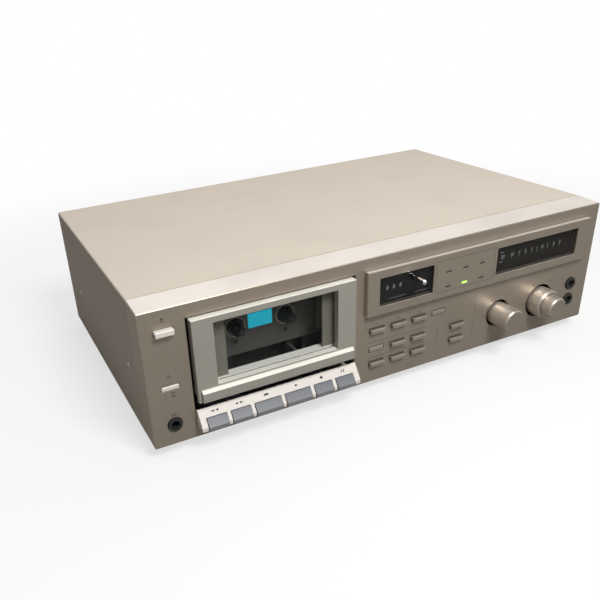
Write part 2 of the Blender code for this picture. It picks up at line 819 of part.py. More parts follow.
def feet():
    """Round rubber feet with a rounded lower rim and a recess for the screw."""
    rim = FOOT_R / 6
    recess = FOOT_R / 3
    for name, (x, depth) in foot_places().items():
        profile = [(0, 0), (FOOT_R, 0)]
        profile += arc((FOOT_R - 1.5 * rim, rim - FOOT_H), rim, rim, 0, -90, 3)
        profile += [(recess, -FOOT_H), (recess, -FOOT_H / 2), (0, -FOOT_H / 2)]
        finish(turned(name, profile, (x, depth, 0), "Z", sides=ROUND_SIDES), "rubber")


def door_frame():
    """The proud door slab with its window; a bar stands out of its foot, with a concave sweep above."""
    body = [
        (DOOR_BACK, DOOR_TOP),
        (DOOR_BACK, STEP_H),
        (-LEDGE_BACK, STEP_H),
        (-LEDGE_BACK, DOOR_FOOT),
        (-DOOR_PROUD, DOOR_FOOT),
        (-DOOR_PROUD, DOOR_TOP),
    ]
    frame = soften(section("door_frame", body, (DOOR_LEFT, DOOR_RIGHT)), PANEL_EDGE / 2)
    out = LEDGE_PROUD - DOOR_PROUD
    root = -DOOR_PROUD + LAP
    bar = [(root, LEDGE_TOP + out), (root, DOOR_FOOT + LAP), (-LEDGE_PROUD, DOOR_FOOT + LAP)]
    bar += [(-LEDGE_PROUD, LEDGE_TOP - out / 2)]
    bar += arc((-LEDGE_PROUD, LEDGE_TOP + out), out, out, -60, 0, 6)
    join(frame, section("door_bar", bar, (DOOR_LEFT + LEDGE_INSET, DOOR_RIGHT - LEDGE_INSET)))
    through = (-LEDGE_PROUD - OVERRUN, DOOR_BACK + OVERRUN)
    cut(frame, box("window_cut", (WINDOW_LEFT, WINDOW_RIGHT), through, (WINDOW_FOOT, WINDOW_HEAD)))
    lap = PANE_LAP + SEAT
    rebate = (DOOR_BACK - PANE_INSET - PANE_T - SEAT, DOOR_BACK + OVERRUN)
    wide = (WINDOW_LEFT - lap, WINDOW_RIGHT + lap)
    cut(frame, box("pane_rebate", wide, rebate, (WINDOW_FOOT - lap, WINDOW_HEAD + lap)))
    return finish(pivot(frame, (BAY_X, HINGE_DEPTH, HINGE_H)), "door")


def door_pane():
    depths = (DOOR_BACK - PANE_INSET - PANE_T, DOOR_BACK - PANE_INSET)
    xs = (WINDOW_LEFT - PANE_LAP, WINDOW_RIGHT + PANE_LAP)
    pane = box("door_pane", xs, depths, (WINDOW_FOOT - PANE_LAP, WINDOW_HEAD + PANE_LAP), PANE_T / 8)
    return finish(pivot(pane, (BAY_X, HINGE_DEPTH, HINGE_H)), "clear")


def cassette_holder():
    """Side channels that take the cassette from above, a front sill, hooks below and two pivot pins."""
    front = DOOR_BACK + SEAT
    back = CASSETTE_BACK
    foot = CASSETTE_FOOT - SEAT - HOOK_T
    top = WINDOW_HEAD
    whole = (MECH_X - HOLDER_OUT + LAP, MECH_X + HOLDER_OUT - LAP)
    holder = box("cassette_holder", whole, (front, SILL_DEPTH), (SILL_H - SILL_T, SILL_H))
    for side, name, lip_w in ((-1, "left", LEFT_LIP_W), (1, "right", RIGHT_LIP_W)):
        wall = sorted((MECH_X + side * HOLDER_IN, MECH_X + side * HOLDER_OUT))
        root = MECH_X + side * (HOLDER_IN + LAP)
        join(holder, box(f"{name}_wall", wall, (front, back), (foot, top)))
        lip = sorted((root, MECH_X + side * (HOLDER_IN - lip_w)))
        join(holder, box(f"{name}_lip", lip, (LIP_DEPTH, LIP_DEPTH + LIP_T), (SILL_H - LAP, top)))
        guide = sorted((root, MECH_X + side * (HOLDER_IN - HOOK_W / 2)))
        join(holder, box(f"{name}_guide", guide, (SILL_DEPTH - LIP_T, SILL_DEPTH), (SILL_H - LAP, top)))
        hook = sorted((root, MECH_X + side * (HOLDER_IN - HOOK_W)))
        join(holder, box(f"{name}_hook", hook, (CASSETTE_FRONT, back), (foot, foot + HOOK_T)))
        keeper = (CASSETTE_FOOT + KEEPER_RISE, top)
        join(holder, box(f"{name}_keeper", guide, (back - KEEPER_T, back), keeper))
        pin = sorted((MECH_X + side * (HOLDER_IN + LAP), MECH_X + side * (WELL_OUT + LAP)))
        join(holder, rod(f"{name}_pin", "X", (HINGE_DEPTH, HINGE_H), pin, HINGE_PIN_R, SMALL_SIDES))
    return finish(pivot(holder, (BAY_X, HINGE_DEPTH, HINGE_H)), "holder")


def deck_chassis():
    """The plate behind the cassette, its side walls with the door's bearings, and two plates behind it."""
    xs = (DECK_LEFT, DECK_RIGHT)
    chassis = box("deck_chassis", xs, (DECK_DEPTH, DECK_BACK), (DECK_FOOT, DECK_TOP))
    join(chassis, box("deck_fold", xs, (DECK_DEPTH, DECK_BACK + DECK_FOLD), (DECK_FOOT, DECK_FOOT + DECK_T)))
    front = DOOR_BACK + DECK_T
    for side, name in ((-1, "left"), (1, "right")):
        wall = sorted((MECH_X + side * WELL_IN, MECH_X + side * WELL_OUT))
        join(chassis, box(f"{name}_cheek", wall, (front, DECK_DEPTH + LAP), (HINGE_H - EAR_R, DECK_TOP)))
        join(chassis, rod(f"{name}_ear", "X", (HINGE_DEPTH, HINGE_H), wall, EAR_R))
        through = (wall[0] - OVERRUN, wall[1] + OVERRUN)
        bore = rod(f"{name}_bore", "X", (HINGE_DEPTH, HINGE_H), through, HINGE_PIN_R + RUNNING, SMALL_SIDES)
        cut(chassis, bore)
    deck_openings(chassis)
    motor_plates(chassis)
    return finish(chassis, "well")


def deck_openings(chassis):
    """Holes for the reel tables and the cassette's locating pins, the lamp and the heads."""
    through = (DECK_DEPTH - OVERRUN, DECK_BACK + OVERRUN)
    opening = (MECH_X - OPENING_LEFT, MECH_X + OPENING_RIGHT)
    cut(chassis, box("head_opening", opening, through, (OPENING_FOOT, OPENING_TOP)))
    for name, x in hub_places():
        ring = (DECK_DEPTH - SPINDLE_RING_T, DECK_DEPTH + LAP)
        join(chassis, rod(f"{name}_ring", "Y", (x, HUB_H), ring, SPINDLE_RING_R))
        cut(chassis, rod(f"{name}_hub_hole", "Y", (x, HUB_H), through, SPINDLE_HOLE_R))
        small = (x, HUB_H - LOCATING_DROP)
        cut(chassis, rod(f"{name}_locating_hole", "Y", small, through, LOCATING_R, SMALL_SIDES))
    cut(chassis, box("lamp_opening", around(MECH_X, LAMP_W), through, around(HUB_H + LAMP_RISE, LAMP_H)))


def motor_plates(chassis):
    """The bridge that bears the shafts and the motor plate behind it, on four posts from the deck."""
    xs = (DECK_LEFT + PLATE_MARGIN, DECK_RIGHT - PLATE_MARGIN)
    foot = DECK_FOOT + 2 * DECK_T
    top = HUB_H + REEL_MOTOR_R + PLATE_MARGIN
    join(chassis, box("bridge", xs, (BRIDGE_DEPTH, BRIDGE_BACK), (foot, top)))
    join(chassis, box("motor_plate", xs, (MOTOR_PLATE_DEPTH, MOTOR_PLATE_BACK), (foot, top)))
    span = (DECK_BACK - LAP, MOTOR_PLATE_DEPTH + LAP)
    for side, x in enumerate((xs[0] + 2 * POST_R, xs[1] - 2 * POST_R)):
        for level, height in enumerate((foot + 2 * POST_R, top - 2 * POST_R)):
            join(chassis, rod(f"post_{side}_{level}", "Y", (x, height), span, POST_R, SMALL_SIDES))
    bridge = (BRIDGE_DEPTH - OVERRUN, BRIDGE_BACK + OVERRUN)
    both = (BRIDGE_DEPTH - OVERRUN, MOTOR_PLATE_BACK + OVERRUN)
    for name, x in hub_places():
        cut(chassis, rod(f"{name}_shaft_hole", "Y", (x, HUB_H), bridge, SHAFT_R + RUNNING, SMALL_SIDES))
    cut(chassis, rod("reel_motor_hole", "Y", (MECH_X, HUB_H), both, SHAFT_HOLE_R, SMALL_SIDES))
    behind = (MOTOR_PLATE_DEPTH - OVERRUN, MOTOR_PLATE_BACK + OVERRUN)
    cut(chassis, rod("capstan_motor_hole", "Y", (motor_x(), TAPE_H), behind, SHAFT_HOLE_R, SMALL_SIDES))
    tube = (BRIDGE_DEPTH - BEARING_REACH, BRIDGE_BACK)
    join(chassis, rod("capstan_tube", "Y", (CAPSTAN_X, TAPE_H), tube, BEARING_R))
    bore = (tube[0] - OVERRUN, BRIDGE_BACK + OVERRUN)
    cut(chassis, rod("capstan_bore", "Y", (CAPSTAN_X, TAPE_H), bore, CAPSTAN_R + RUNNING, SMALL_SIDES))


def hub_places():
    return (("supply", MECH_X - HUB_PITCH / 2), ("takeup", MECH_X + HUB_PITCH / 2))


def motor_x():
    return MECH_X - MOTOR_OFFSET


def lamp_window():
    pane = box(
        "lamp_window",
        around(MECH_X, LAMP_W - 2 * SEAT),
        (DECK_DEPTH - SPINDLE_RING_T, DECK_DEPTH - SPINDLE_RING_T + LAMP_T),
        around(HUB_H + LAMP_RISE, LAMP_H - 2 * SEAT),
    )
    return finish(pane, "lamp")


def spindles():
    """Reel tables: a friction disc behind the deck, a collar in the hole and a splined post in front."""
    deck = -DECK_DEPTH
    disc_front = -(DECK_BACK + DISC_GAP)
    disc_back = disc_front - REEL_DISC_T
    shaft_end = -(BRIDGE_BACK + SEAT)
    for name, x in hub_places():
        profile = [
            (0, deck + SPINDLE_TIP),
            (SPINDLE_POST_R / 2, deck + SPINDLE_TIP - SPINDLE_POST_R / 4),
            (SPINDLE_POST_R, deck + SPINDLE_TIP - SPINDLE_POST_R),
            (SPINDLE_POST_R, deck + SPINDLE_TABLE_RISE),
            (SPINDLE_TABLE_R, deck + SPINDLE_TABLE_RISE),
            (SPINDLE_TABLE_R, disc_front),
            (REEL_DISC_R, disc_front),
            (REEL_DISC_R, disc_back),
            (SHAFT_R, disc_back),
            (SHAFT_R, shaft_end),
            (0, shaft_end),
        ]
        spindle = turned(f"{name}_spindle", profile, (x, 0, HUB_H), sides=ROUND_SIDES)
        depths = (DECK_DEPTH - SPINDLE_TIP + 1.2 * SPINDLE_POST_R, DECK_DEPTH - SPINDLE_TABLE_RISE + LAP)
        width = 2 * SPINDLE_POST_R + 2 * LAP
        for k in range(SPLINES // 2):
            fin = box(f"{name}_spline_{k}", around(x, width), depths, around(HUB_H, SPLINE_W))
            pivot(fin, (x, 0, HUB_H))
            fin.rotation_euler = (0, math.pi * k / (SPLINES // 2), 0)
            join(spindle, fin)
        finish(spindle, "black")


def capstan_flywheel():
    """The capstan: a thin polished shaft in front, a heavy dished flywheel behind."""
    rim_front = -(BRIDGE_BACK + FLYWHEEL_GAP)
    rim_back = rim_front - FLYWHEEL_T
    web = FLYWHEEL_T / 4
    shaft_end = -(MOTOR_PLATE_DEPTH - SEAT)
    profile = [
        (0, -CAPSTAN_REACH),
        (CAPSTAN_R, -CAPSTAN_REACH - LAP / 2),
        (CAPSTAN_R, rim_front + web),
        (FLYWHEEL_HUB_R, rim_front + web),
        (FLYWHEEL_HUB_R, rim_front - web),
        (FLYWHEEL_R - web * 2, rim_front - web),
        (FLYWHEEL_R - web * 2, rim_front),
        (FLYWHEEL_R, rim_front),
        (FLYWHEEL_R, rim_back),
        (CAPSTAN_R, rim_back),
        (CAPSTAN_R, shaft_end),
        (0, shaft_end),
    ]
    return finish(turned("capstan_flywheel", profile, (CAPSTAN_X, 0, TAPE_H)), "brass")


def head_carriage():
    """The plate that lifts the head and the pinch roller; it slides behind the deck plate."""
    depths = (DECK_BACK + 2 * SEAT, DECK_BACK + 2 * SEAT + CARRIAGE_T)
    wide = (MECH_X - OPENING_LEFT - CARRIAGE_LAP, MECH_X + OPENING_RIGHT + CARRIAGE_LAP)
    carriage = box("head_carriage", wide, depths, (CARRIAGE_FOOT, CARRIAGE_TOP))
    shelf = (CARRIAGE_TOP - SHELF_T, CARRIAGE_TOP)
    front = head_span()[0]
    left = MECH_X - SHELF_LEFT
    join(carriage, box("shelf", (left, MECH_X + SHELF_RIGHT), (front, depths[1] - LAP / 2), shelf))
    tab = (CARRIAGE_TOP - LAP, ROLLER_H + 3 * ROLLER_PIN_R)
    join(carriage, box("roller_tab", around(CAPSTAN_X, 6 * ROLLER_PIN_R), depths, tab))
    pin = (roller_span()[0] - SEAT, depths[1] - LAP / 2)
    join(carriage, rod("roller_pin", "Y", (CAPSTAN_X, ROLLER_H), pin, ROLLER_PIN_R, SMALL_SIDES))
    erase = (left + LAP, left + LAP + HEAD_W / 2)
    heights = (CARRIAGE_TOP - LAP, CARRIAGE_TOP + HEAD_H * ERASE_HEAD_SHARE)
    join(carriage, box("erase_head", erase, head_span(), heights, LAP / 2))
    return finish(carriage, "steel")


def head_span():
    return around(middle((CASSETTE_FRONT, CASSETTE_BACK)), HEAD_D)


def roller_span():
    return around(middle((CASSETTE_FRONT, CASSETTE_BACK)), ROLLER_L)


def record_head():
    """The head's block, its face curved over in an arc that meets the tape."""
    half = HEAD_W / 2
    foot = CARRIAGE_TOP + SEAT
    crown = HEAD_H * (1 - HEAD_SHOULDER_SHARE)
    shoulder = foot + HEAD_H - crown
    outline = [(MECH_X - half, foot), (MECH_X + half, foot)]
    outline += arc((MECH_X, shoulder), half, crown, 0, 180, 12)
    return finish(plate("record_head", outline, head_span()), "steel")


def pinch_roller():
    front, back = roller_span()
    crown = LAP / 2
    profile = [
        (ROLLER_PIN_R + RUNNING, -front),
        (ROLLER_R - crown, -front),
        (ROLLER_R, -front - crown),
        (ROLLER_R, -back + crown),
        (ROLLER_R - crown, -back),
        (ROLLER_PIN_R + RUNNING, -back),
    ]
    roller = turned("pinch_roller", profile, (CAPSTAN_X, 0, ROLLER_H), closed=True, sides=ROUND_SIDES)
    return finish(roller, "rubber")


def capstan_motor():
    """A can motor behind the motor plate, with its pulley in the flywheel's plane."""
    pulley = (BRIDGE_BACK + FLYWHEEL_GAP, BRIDGE_BACK + FLYWHEEL_GAP + FLYWHEEL_T)
    crown = (pulley[1] - pulley[0]) / 12
    can = can_motor(MOTOR_R, MOTOR_L)
    profile = [
        (0, -pulley[0]),
        (PULLEY_R - crown, -pulley[0]),
        (PULLEY_R, -middle(pulley)),
        (PULLEY_R - crown, -pulley[1]),
        (SHAFT_R, -pulley[1]),
    ]
    motor = turned("capstan_motor", profile + can, (motor_x(), 0, TAPE_H), sides=ROUND_SIDES)
    return finish(motor, "steel")


def can_motor(radius, length):
    """Profile of a motor's can from its shaft's foot to the middle of its rounded back."""
    face = -(MOTOR_PLATE_BACK + SEAT)
    shoulder = radius / 8
    return [
        (SHAFT_R, face),
        (radius, face),
        (radius, face - length + shoulder),
        (radius - shoulder, face - length),
        (0, face - length),
    ]


def reel_motor():
    """A second can motor, its friction wheel between the reel discs and just clear of both."""
    wheel_r = HUB_PITCH / 2 - REEL_DISC_R - SEAT
    wheel = (DECK_BACK + DISC_GAP, DECK_BACK + DISC_GAP + REEL_DISC_T)
    profile = [(0, -wheel[0]), (wheel_r, -wheel[0]), (wheel_r, -wheel[1]), (SHAFT_R, -wheel[1])]
    can = can_motor(REEL_MOTOR_R, MOTOR_L)
    motor = turned("reel_motor", profile + can, (MECH_X, 0, HUB_H), sides=ROUND_SIDES)
    return finish(motor, "steel")


def drive_belt():
    """The flat belt round the motor pulley and the flywheel, as one loop of tangent runs and arcs."""
    small = PULLEY_R + SEAT
    large = FLYWHEEL_R + SEAT
    gap = CAPSTAN_X - motor_x()
    lean = math.degrees(math.acos((large - small) / gap))
    loops = []
    for grow in (BELT_T, 0):
        big = arc((CAPSTAN_X, TAPE_H), large + grow, large + grow, -180 + lean, 180 - lean, 20)
        tiny = arc((motor_x(), TAPE_H), small + grow, small + grow, 180 - lean, 180 + lean, 8)
        loops.append(big + tiny)
    centre = BRIDGE_BACK + FLYWHEEL_GAP + FLYWHEEL_T / 2
    belt = plate("drive_belt", loops[0], around(centre, BELT_W))
    cut(belt, plate("belt_inside", loops[1], around(centre, BELT_W + 2 * OVERRUN)))
    return finish(belt, "rubber")


def key_slope(height):
    """Depth of the key block's sloping face at a height."""
    run = (KEY_FOOT_PROUD - KEY_TOP_PROUD) / (KEY_BLOCK_H - KEY_FOOT_H)
    return -KEY_TOP_PROUD - (BLOCK_TOP - height) * run


def key_bezel():
    """The sloping comb round the keys, with two arms back to the rod that the keys turn on."""
    face_foot = KEY_SILL_H + KEY_FOOT_H
    body = [
        (-KEY_TOP_PROUD, BLOCK_TOP),
        (-KEY_FOOT_PROUD, face_foot),
        (-KEY_FOOT_PROUD, BLOCK_FOOT),
        (BEZEL_BACK, BLOCK_FOOT),
        (BEZEL_BACK, BLOCK_TOP - BEZEL_DROP),
    ]
    bezel = section("key_bezel", body, (BLOCK_LEFT, BLOCK_RIGHT))
    depths = (-KEY_FOOT_PROUD - OVERRUN, BEZEL_BACK + OVERRUN)
    for name, left, right in key_places():
        cut(bezel, box(f"{name}_pocket", (left, right), depths, (BLOCK_FOOT - OVERRUN, KEY_TOP)))
    soften(bezel, PANEL_EDGE / 2)
    arm_back = KEY_PIVOT_DEPTH + 2 * KEY_ROD_R
    arm = (BEZEL_BACK - LAP, arm_back)
    heights = around(KEY_PIVOT_Z, 4 * KEY_ROD_R)
    join(bezel, box("left_arm", (BLOCK_LEFT + LAP, BLOCK_LEFT + LAP + KEY_BAR), arm, heights))
    join(bezel, box("right_arm", (BLOCK_RIGHT - LAP - KEY_BAR, BLOCK_RIGHT - LAP), arm, heights))
    span = (BLOCK_LEFT + KEY_BAR, BLOCK_RIGHT - KEY_BAR)
    join(bezel, rod("key_rod", "X", (KEY_PIVOT_DEPTH, KEY_PIVOT_Z), span, KEY_ROD_R, SMALL_SIDES))
    return finish(bezel, "cream")


def keys():
    """Piano keys on a common rod: sloping front, flat underside and a lever back to the hub."""
    top = KEY_TOP - SEAT
    foot = KEY_SILL_H + KEY_LIP_H
    back = -KEY_BLOCK_BACK
    tail = KEY_PIVOT_DEPTH - (KEY_HUB_R + KEY_ROD_R) / 2
    waist = KEY_PIVOT_Z - KEY_LEVER_T / 2
    neck = KEY_PIVOT_Z + KEY_LEVER_T / 2
    body = [
        (key_slope(top), top),
        (-KEY_PROUD, foot + KEY_FRONT_H),
        (-KEY_PROUD, foot),
        (back, foot),
        (back, waist),
        (tail, waist),
        (tail, neck),
        (back, neck),
        (back, top),
    ]
    axis = (KEY_PIVOT_DEPTH, KEY_PIVOT_Z)
    for name, left, right in key_places():
        span = (left + SEAT, right - SEAT)
        key = soften(section(name, body, span), PANEL_EDGE / 2)
        hub = (span[0] + LAP, span[1] - LAP)
        join(key, rod(f"{name}_hub", "X", axis, hub, KEY_HUB_R, SMALL_SIDES))
        through = (left - OVERRUN, right + OVERRUN)
        cut(key, rod(f"{name}_bore", "X", axis, through, KEY_ROD_R + RUNNING, SMALL_SIDES))
        finish(pivot(key, (middle(span), *axis)), "key")


def push_button(name, x, height, width, tall, proud, look):
    """A cap with rounded edges and a flat stem behind it."""
    cap = box(name, around(x, width), (-proud, PANEL_T + BUTTON_BODY_T), around(height, tall), BUTTON_EDGE)
    stem = (PANEL_T + BUTTON_BODY_T - LAP, STEM_BACK)
    join(cap, box(f"{name}_stem", around(x, STEM_W), stem, around(height, STEM_H)))
    return finish(pivot(cap, (x, 0, height)), look)


def buttons():
    for name, x, height, pushed in button_places():
        proud = BUTTON_PROUD - BUTTON_TRAVEL if pushed else BUTTON_PROUD
        push_button(name, x, height, BUTTON_W, BUTTON_H, proud, "button")
    eject = (EJECT_W - 2 * SLOT_PLAY, EJECT_H - 2 * SLOT_PLAY, EJECT_PROUD)
    push_button("eject_button", COLUMN_X, PANEL_H - EJECT_DROP, *eject, "cream")
    power = (POWER_W - 2 * SLOT_PLAY, POWER_H - 2 * SLOT_PLAY, POWER_PROUD)
    push_button("power_button", COLUMN_X, POWER_RISE, *power, "cream")


def display_bezel():
    """The raised strip with its two windows, six lamp slots and a rebate for the lens behind."""
    trim = (-TRIM_PROUD, -SEAT)
    bezel = box("display_bezel", (TRIM_LEFT, TRIM_RIGHT), trim, (TRIM_FOOT, TRIM_TOP), TRIM_EDGE)
    through = (-TRIM_PROUD - OVERRUN, OVERRUN)
    display = (DISPLAY_FOOT, DISPLAY_TOP)
    cut(bezel, box("counter_window", (COUNTER_LEFT, COUNTER_RIGHT), through, display))
    cut(bezel, box("meter_window", (METER_LEFT, METER_RIGHT), through, display))
    for k, (x, height) in enumerate(lamp_places()):
        cut(bezel, slot(f"lamp_slot_{k}", x, height, LAMP_SLOT_W, LAMP_SLOT_H, through))
    lap = LENS_LAP + SEAT
    rebate = (-TRIM_PROUD + TRIM_SKIN, OVERRUN)
    xs = (COUNTER_LEFT - lap, METER_RIGHT + lap)
    cut(bezel, box("lens_rebate", xs, rebate, (DISPLAY_FOOT - lap, DISPLAY_TOP + lap)))
    return finish(bezel, "panel")


def reset_place():
    return TRIM_LEFT + RESET_INSET, DISPLAY_FOOT + RESET_RISE


def display_lens():
    front = -TRIM_PROUD + TRIM_SKIN + SEAT
    xs = (COUNTER_LEFT - LENS_LAP, METER_RIGHT + LENS_LAP)
    heights = (DISPLAY_FOOT - LENS_LAP, DISPLAY_TOP + LENS_LAP)
    lens = box("display_lens", xs, (front, front + LENS_T), heights)
    x, height = reset_place()
    through = (front - OVERRUN, OVERRUN)
    cut(lens, hole("reset_window", x, height, RESET_R + SLOT_PLAY, through, SMALL_SIDES))
    return finish(lens, "smoke")


def drum_places():
    first = TRIM_LEFT + DRUM_INSET
    return {
        "hundreds_drum": first,
        "tens_drum": first + DRUM_PITCH,
        "units_drum": first + 2 * DRUM_PITCH,
    }


def drum_axis():
    return DRUM_FRONT + DRUM_R, DISPLAY_FOOT + DRUM_RISE


def counter_frame():
    """The counter's mask with three digit windows, its two cheeks, the shaft between them and a back."""
    depth, height = drum_axis()
    places = list(drum_places().values())
    mask = (SEAT, SEAT + MASK_T)
    rims = (DISPLAY_FOOT + SEAT, DISPLAY_TOP - SEAT)
    frame = box("counter_frame", (COUNTER_LEFT + SEAT, COUNTER_RIGHT - SEAT), mask, rims)
    reach = depth + CHEEK_REACH - CHEEK_T
    clear = DRUM_PITCH / 2 + SEAT
    left = places[0] - clear
    right = places[-1] + clear
    tall = around(height, 2 * DRUM_R)
    join(frame, box("left_cheek", (left - CHEEK_T, left), (mask[1] - LAP, reach), tall))
    join(frame, box("right_cheek", (right, right + CHEEK_T), (mask[1] - LAP, reach), tall))
    join(frame, box("counter_back", (left - LAP, right + LAP), (reach - CHEEK_T, reach), tall))
    shaft = (left - LAP, right + LAP)
    join(frame, rod("counter_shaft", "X", (depth, height), shaft, SHAFT_R, SMALL_SIDES))
    through = (-OVERRUN, mask[1] + OVERRUN / 4)
    for name, x in drum_places().items():
        cut(frame, slot(f"{name}_window", x, height, DIGIT_W, DIGIT_H, through))
    x, height = reset_place()
    cut(frame, hole("reset_hole", x, height, RESET_R + SEAT, sides=SMALL_SIDES))
    return finish(frame, "black")


def counter_drums():
    """Number drums with a narrow drive flange on one side."""
    depth, height = drum_axis()
    half = DRUM_W / 2
    flange = DRUM_W / 8
    for name, x in drum_places().items():
        profile = [
            (DRUM_BORE_R, half),
            (DRUM_R, half),
            (DRUM_R, flange - half),
            (DRUM_R - flange, flange - half),
            (DRUM_R - flange, -half),
            (DRUM_BORE_R, -half),
        ]
        finish(turned(name, profile, (x, depth, height), "X", closed=True, sides=ROUND_SIDES), "drum")


def counter_reset_button():
    x, height = reset_place()
    profile = [
        (0, RESET_PROUD),
        (RESET_R - RESET_CROWN, RESET_PROUD),
        (RESET_R, RESET_PROUD - RESET_CROWN),
        (RESET_R, -RESET_BACK),
        (0, -RESET_BACK),
    ]
    return finish(turned("counter_reset_button", profile, (x, 0, height), sides=ROUND_SIDES), "steel")


def knobs():
    """Two turned knobs on one centre for the record level, and one for the output level."""
    single = [
        (0, KNOB_REACH - LAP),
        (OUTPUT_KNOB_R - KNOB_CHAMFER, KNOB_REACH - LAP),
        (OUTPUT_KNOB_R, KNOB_REACH - LAP - KNOB_CHAMFER),
        (OUTPUT_KNOB_R, -KNOB_SKIRT),
        (KNOB_SHAFT_R, -KNOB_SKIRT),
        (KNOB_SHAFT_R, -SHAFT_REACH),
        (0, -SHAFT_REACH),
    ]
    finish(turned("output_knob", single, (OUTPUT_X, 0, KNOB_RISE)), "knob")
    sleeve = CORE_R + RUNNING
    outer = [
        (sleeve, OUTER_KNOB_L),
        (OUTER_KNOB_R - KNOB_CHAMFER, OUTER_KNOB_L),
        (OUTER_KNOB_R, OUTER_KNOB_L - KNOB_CHAMFER),
        (OUTER_KNOB_R, -KNOB_SKIRT),
        (SLEEVE_R, -KNOB_SKIRT),
        (SLEEVE_R, KNOB_CHAMFER - SHAFT_REACH + KNOB_SKIRT),
        (sleeve, KNOB_CHAMFER - SHAFT_REACH + KNOB_SKIRT),
    ]
    finish(turned("record_knob_outer", outer, (RECORD_X, 0, KNOB_RISE), closed=True), "knob")
    inner = [
        (0, KNOB_REACH),
        (INNER_KNOB_R - KNOB_CHAMFER, KNOB_REACH),
        (INNER_KNOB_R, KNOB_REACH - KNOB_CHAMFER),
        (INNER_KNOB_R, OUTER_KNOB_L + SEAT),
        (CORE_R, OUTER_KNOB_L + SEAT),
        (CORE_R, -SHAFT_REACH),
        (0, -SHAFT_REACH),
    ]
    finish(turned("record_knob_inner", inner, (RECORD_X, 0, KNOB_RISE)), "knob")


def jack_block(name, x, rises):
    """A moulded jack body with a threaded collar through the panel for each socket."""
    tall = (min(rises) - JACK_BODY / 2, max(rises) + JACK_BODY / 2)
    depths = (PANEL_T + SEAT, PANEL_T + JACK_LENGTH)
    block = box(name, around(x, JACK_BODY), depths, tall, PANEL_EDGE)
    for k, rise in enumerate(rises):
        collar = (-JACK_PROUD, PANEL_T + SEAT + PANEL_EDGE + LAP)
        join(block, rod(f"{name}_collar_{k}", "Y", (x, rise), collar, JACK_R))
        bore = (-JACK_PROUD - OVERRUN, JACK_BORE_DEPTH)
        cut(block, rod(f"{name}_bore_{k}", "Y", (x, rise), bore, JACK_BORE_R))
    return finish(block, "black")


def control_board():
    """The upright board behind the right half: switches, level controls, lamps and the level display."""
    left = TRIM_LEFT
    notch = MIC_X - JACK_BODY / 2 - BOARD_MARGIN
    right = METER_RIGHT + BOARD_MARGIN
    shoulder = max(MIC_RISES) + JACK_BODY / 2 + SLOT_PLAY
    lamp_half = LAMP_PITCH + LAMP_SLOT_W - 2 * SLOT_PLAY
    outline = [
        (left, CONTROL_FOOT),
        (notch, CONTROL_FOOT),
        (notch, shoulder),
        (right, shoulder),
        (right, DISPLAY_TOP),
        (LAMP_X - lamp_half, DISPLAY_TOP),
        (LAMP_X - lamp_half, CONTROL_TOP),
        (left, CONTROL_TOP),
    ]
    board = plate("control_board", outline, (CONTROL_DEPTH, CONTROL_BACK))
    front = CONTROL_DEPTH + LAP
    for name, x, height, _ in button_places():
        join(board, slot(f"{name}_switch", x, height, SWITCH_W, SWITCH_H, (SWITCH_DEPTH, front)))
        well = (SWITCH_DEPTH - OVERRUN, CONTROL_DEPTH - LAP)
        cut(board, slot(f"{name}_well", x, height, STEM_W + 2 * SLOT_PLAY, STEM_H + 2 * SLOT_PLAY, well))
    behind_lens = (SEAT + MASK_T, front)
    display = (DISPLAY_FOOT + SLOT_PLAY, DISPLAY_TOP - SLOT_PLAY)
    meter = (METER_LEFT + SLOT_PLAY, METER_RIGHT - SLOT_PLAY)
    join(board, box("meter_module", meter, (SEAT, front), display))
    join(board, box("lamp_module", around(LAMP_X, 2 * lamp_half), behind_lens, display))
    for name, x in (("output", OUTPUT_X), ("record", RECORD_X)):
        join(board, rod(f"{name}_pot", "Y", (x, KNOB_RISE), (POT_DEPTH, front), POT_R))
    bore = SHAFT_REACH + SEAT
    mouth = POT_DEPTH - OVERRUN
    cut(board, rod("output_bore", "Y", (OUTPUT_X, KNOB_RISE), (mouth, bore), KNOB_SHAFT_R + RUNNING))
    step = SHAFT_REACH - KNOB_CHAMFER - KNOB_SKIRT + SEAT
    cut(board, rod("record_mouth", "Y", (RECORD_X, KNOB_RISE), (mouth, step), SLEEVE_R + RUNNING))
    cut(board, rod("record_bore", "Y", (RECORD_X, KNOB_RISE), (mouth, bore), CORE_R + RUNNING))
    posts = ((left + 2 * POST_R, CONTROL_TOP - 2 * POST_R), (middle((OUTPUT_X, RECORD_X)), 3 * POST_R))
    for k, (x, height) in enumerate(posts):
        span = (PANEL_T + SEAT, front)
        join(board, rod(f"board_post_{k}", "Y", (x, height), span, POST_R, SMALL_SIDES))
    return finish(board, "board")


def main_board():
    """The audio board on its standoffs, with electrolytic capacitors and a finned heat sink."""
    xs, depths = board_span()
    top = MAIN_H + BOARD_T
    board = box("main_board", xs, depths, (MAIN_H, top))
    row = depths[1] - 2 * CAPACITOR_R
    can = (top - LAP, top + CAPACITOR_L)
    for k in range(CAPACITORS):
        x = xs[0] + CAPACITOR_R * (3 + 3 * k)
        join(board, rod(f"capacitor_{k}", "Z", (x, row), can, CAPACITOR_R, SMALL_SIDES))
    sink_x = xs[1] - SINK_W
    sink_back = middle(depths)
    sink = (sink_back, sink_back + SINK_T)
    join(board, box("heat_sink", around(sink_x, SINK_W), sink, (top - LAP, top + SINK_H)))
    for k in range(SINK_FINS):
        x = sink_x + SINK_W * (k - (SINK_FINS - 1) / 2) / SINK_FINS
        fin = (sink_back - 3 * SINK_T, sink_back + LAP)
        join(board, box(f"fin_{k}", around(x, SINK_T / 2), fin, (top + SINK_T, top + SINK_H - LAP)))
    return finish(board, "board")


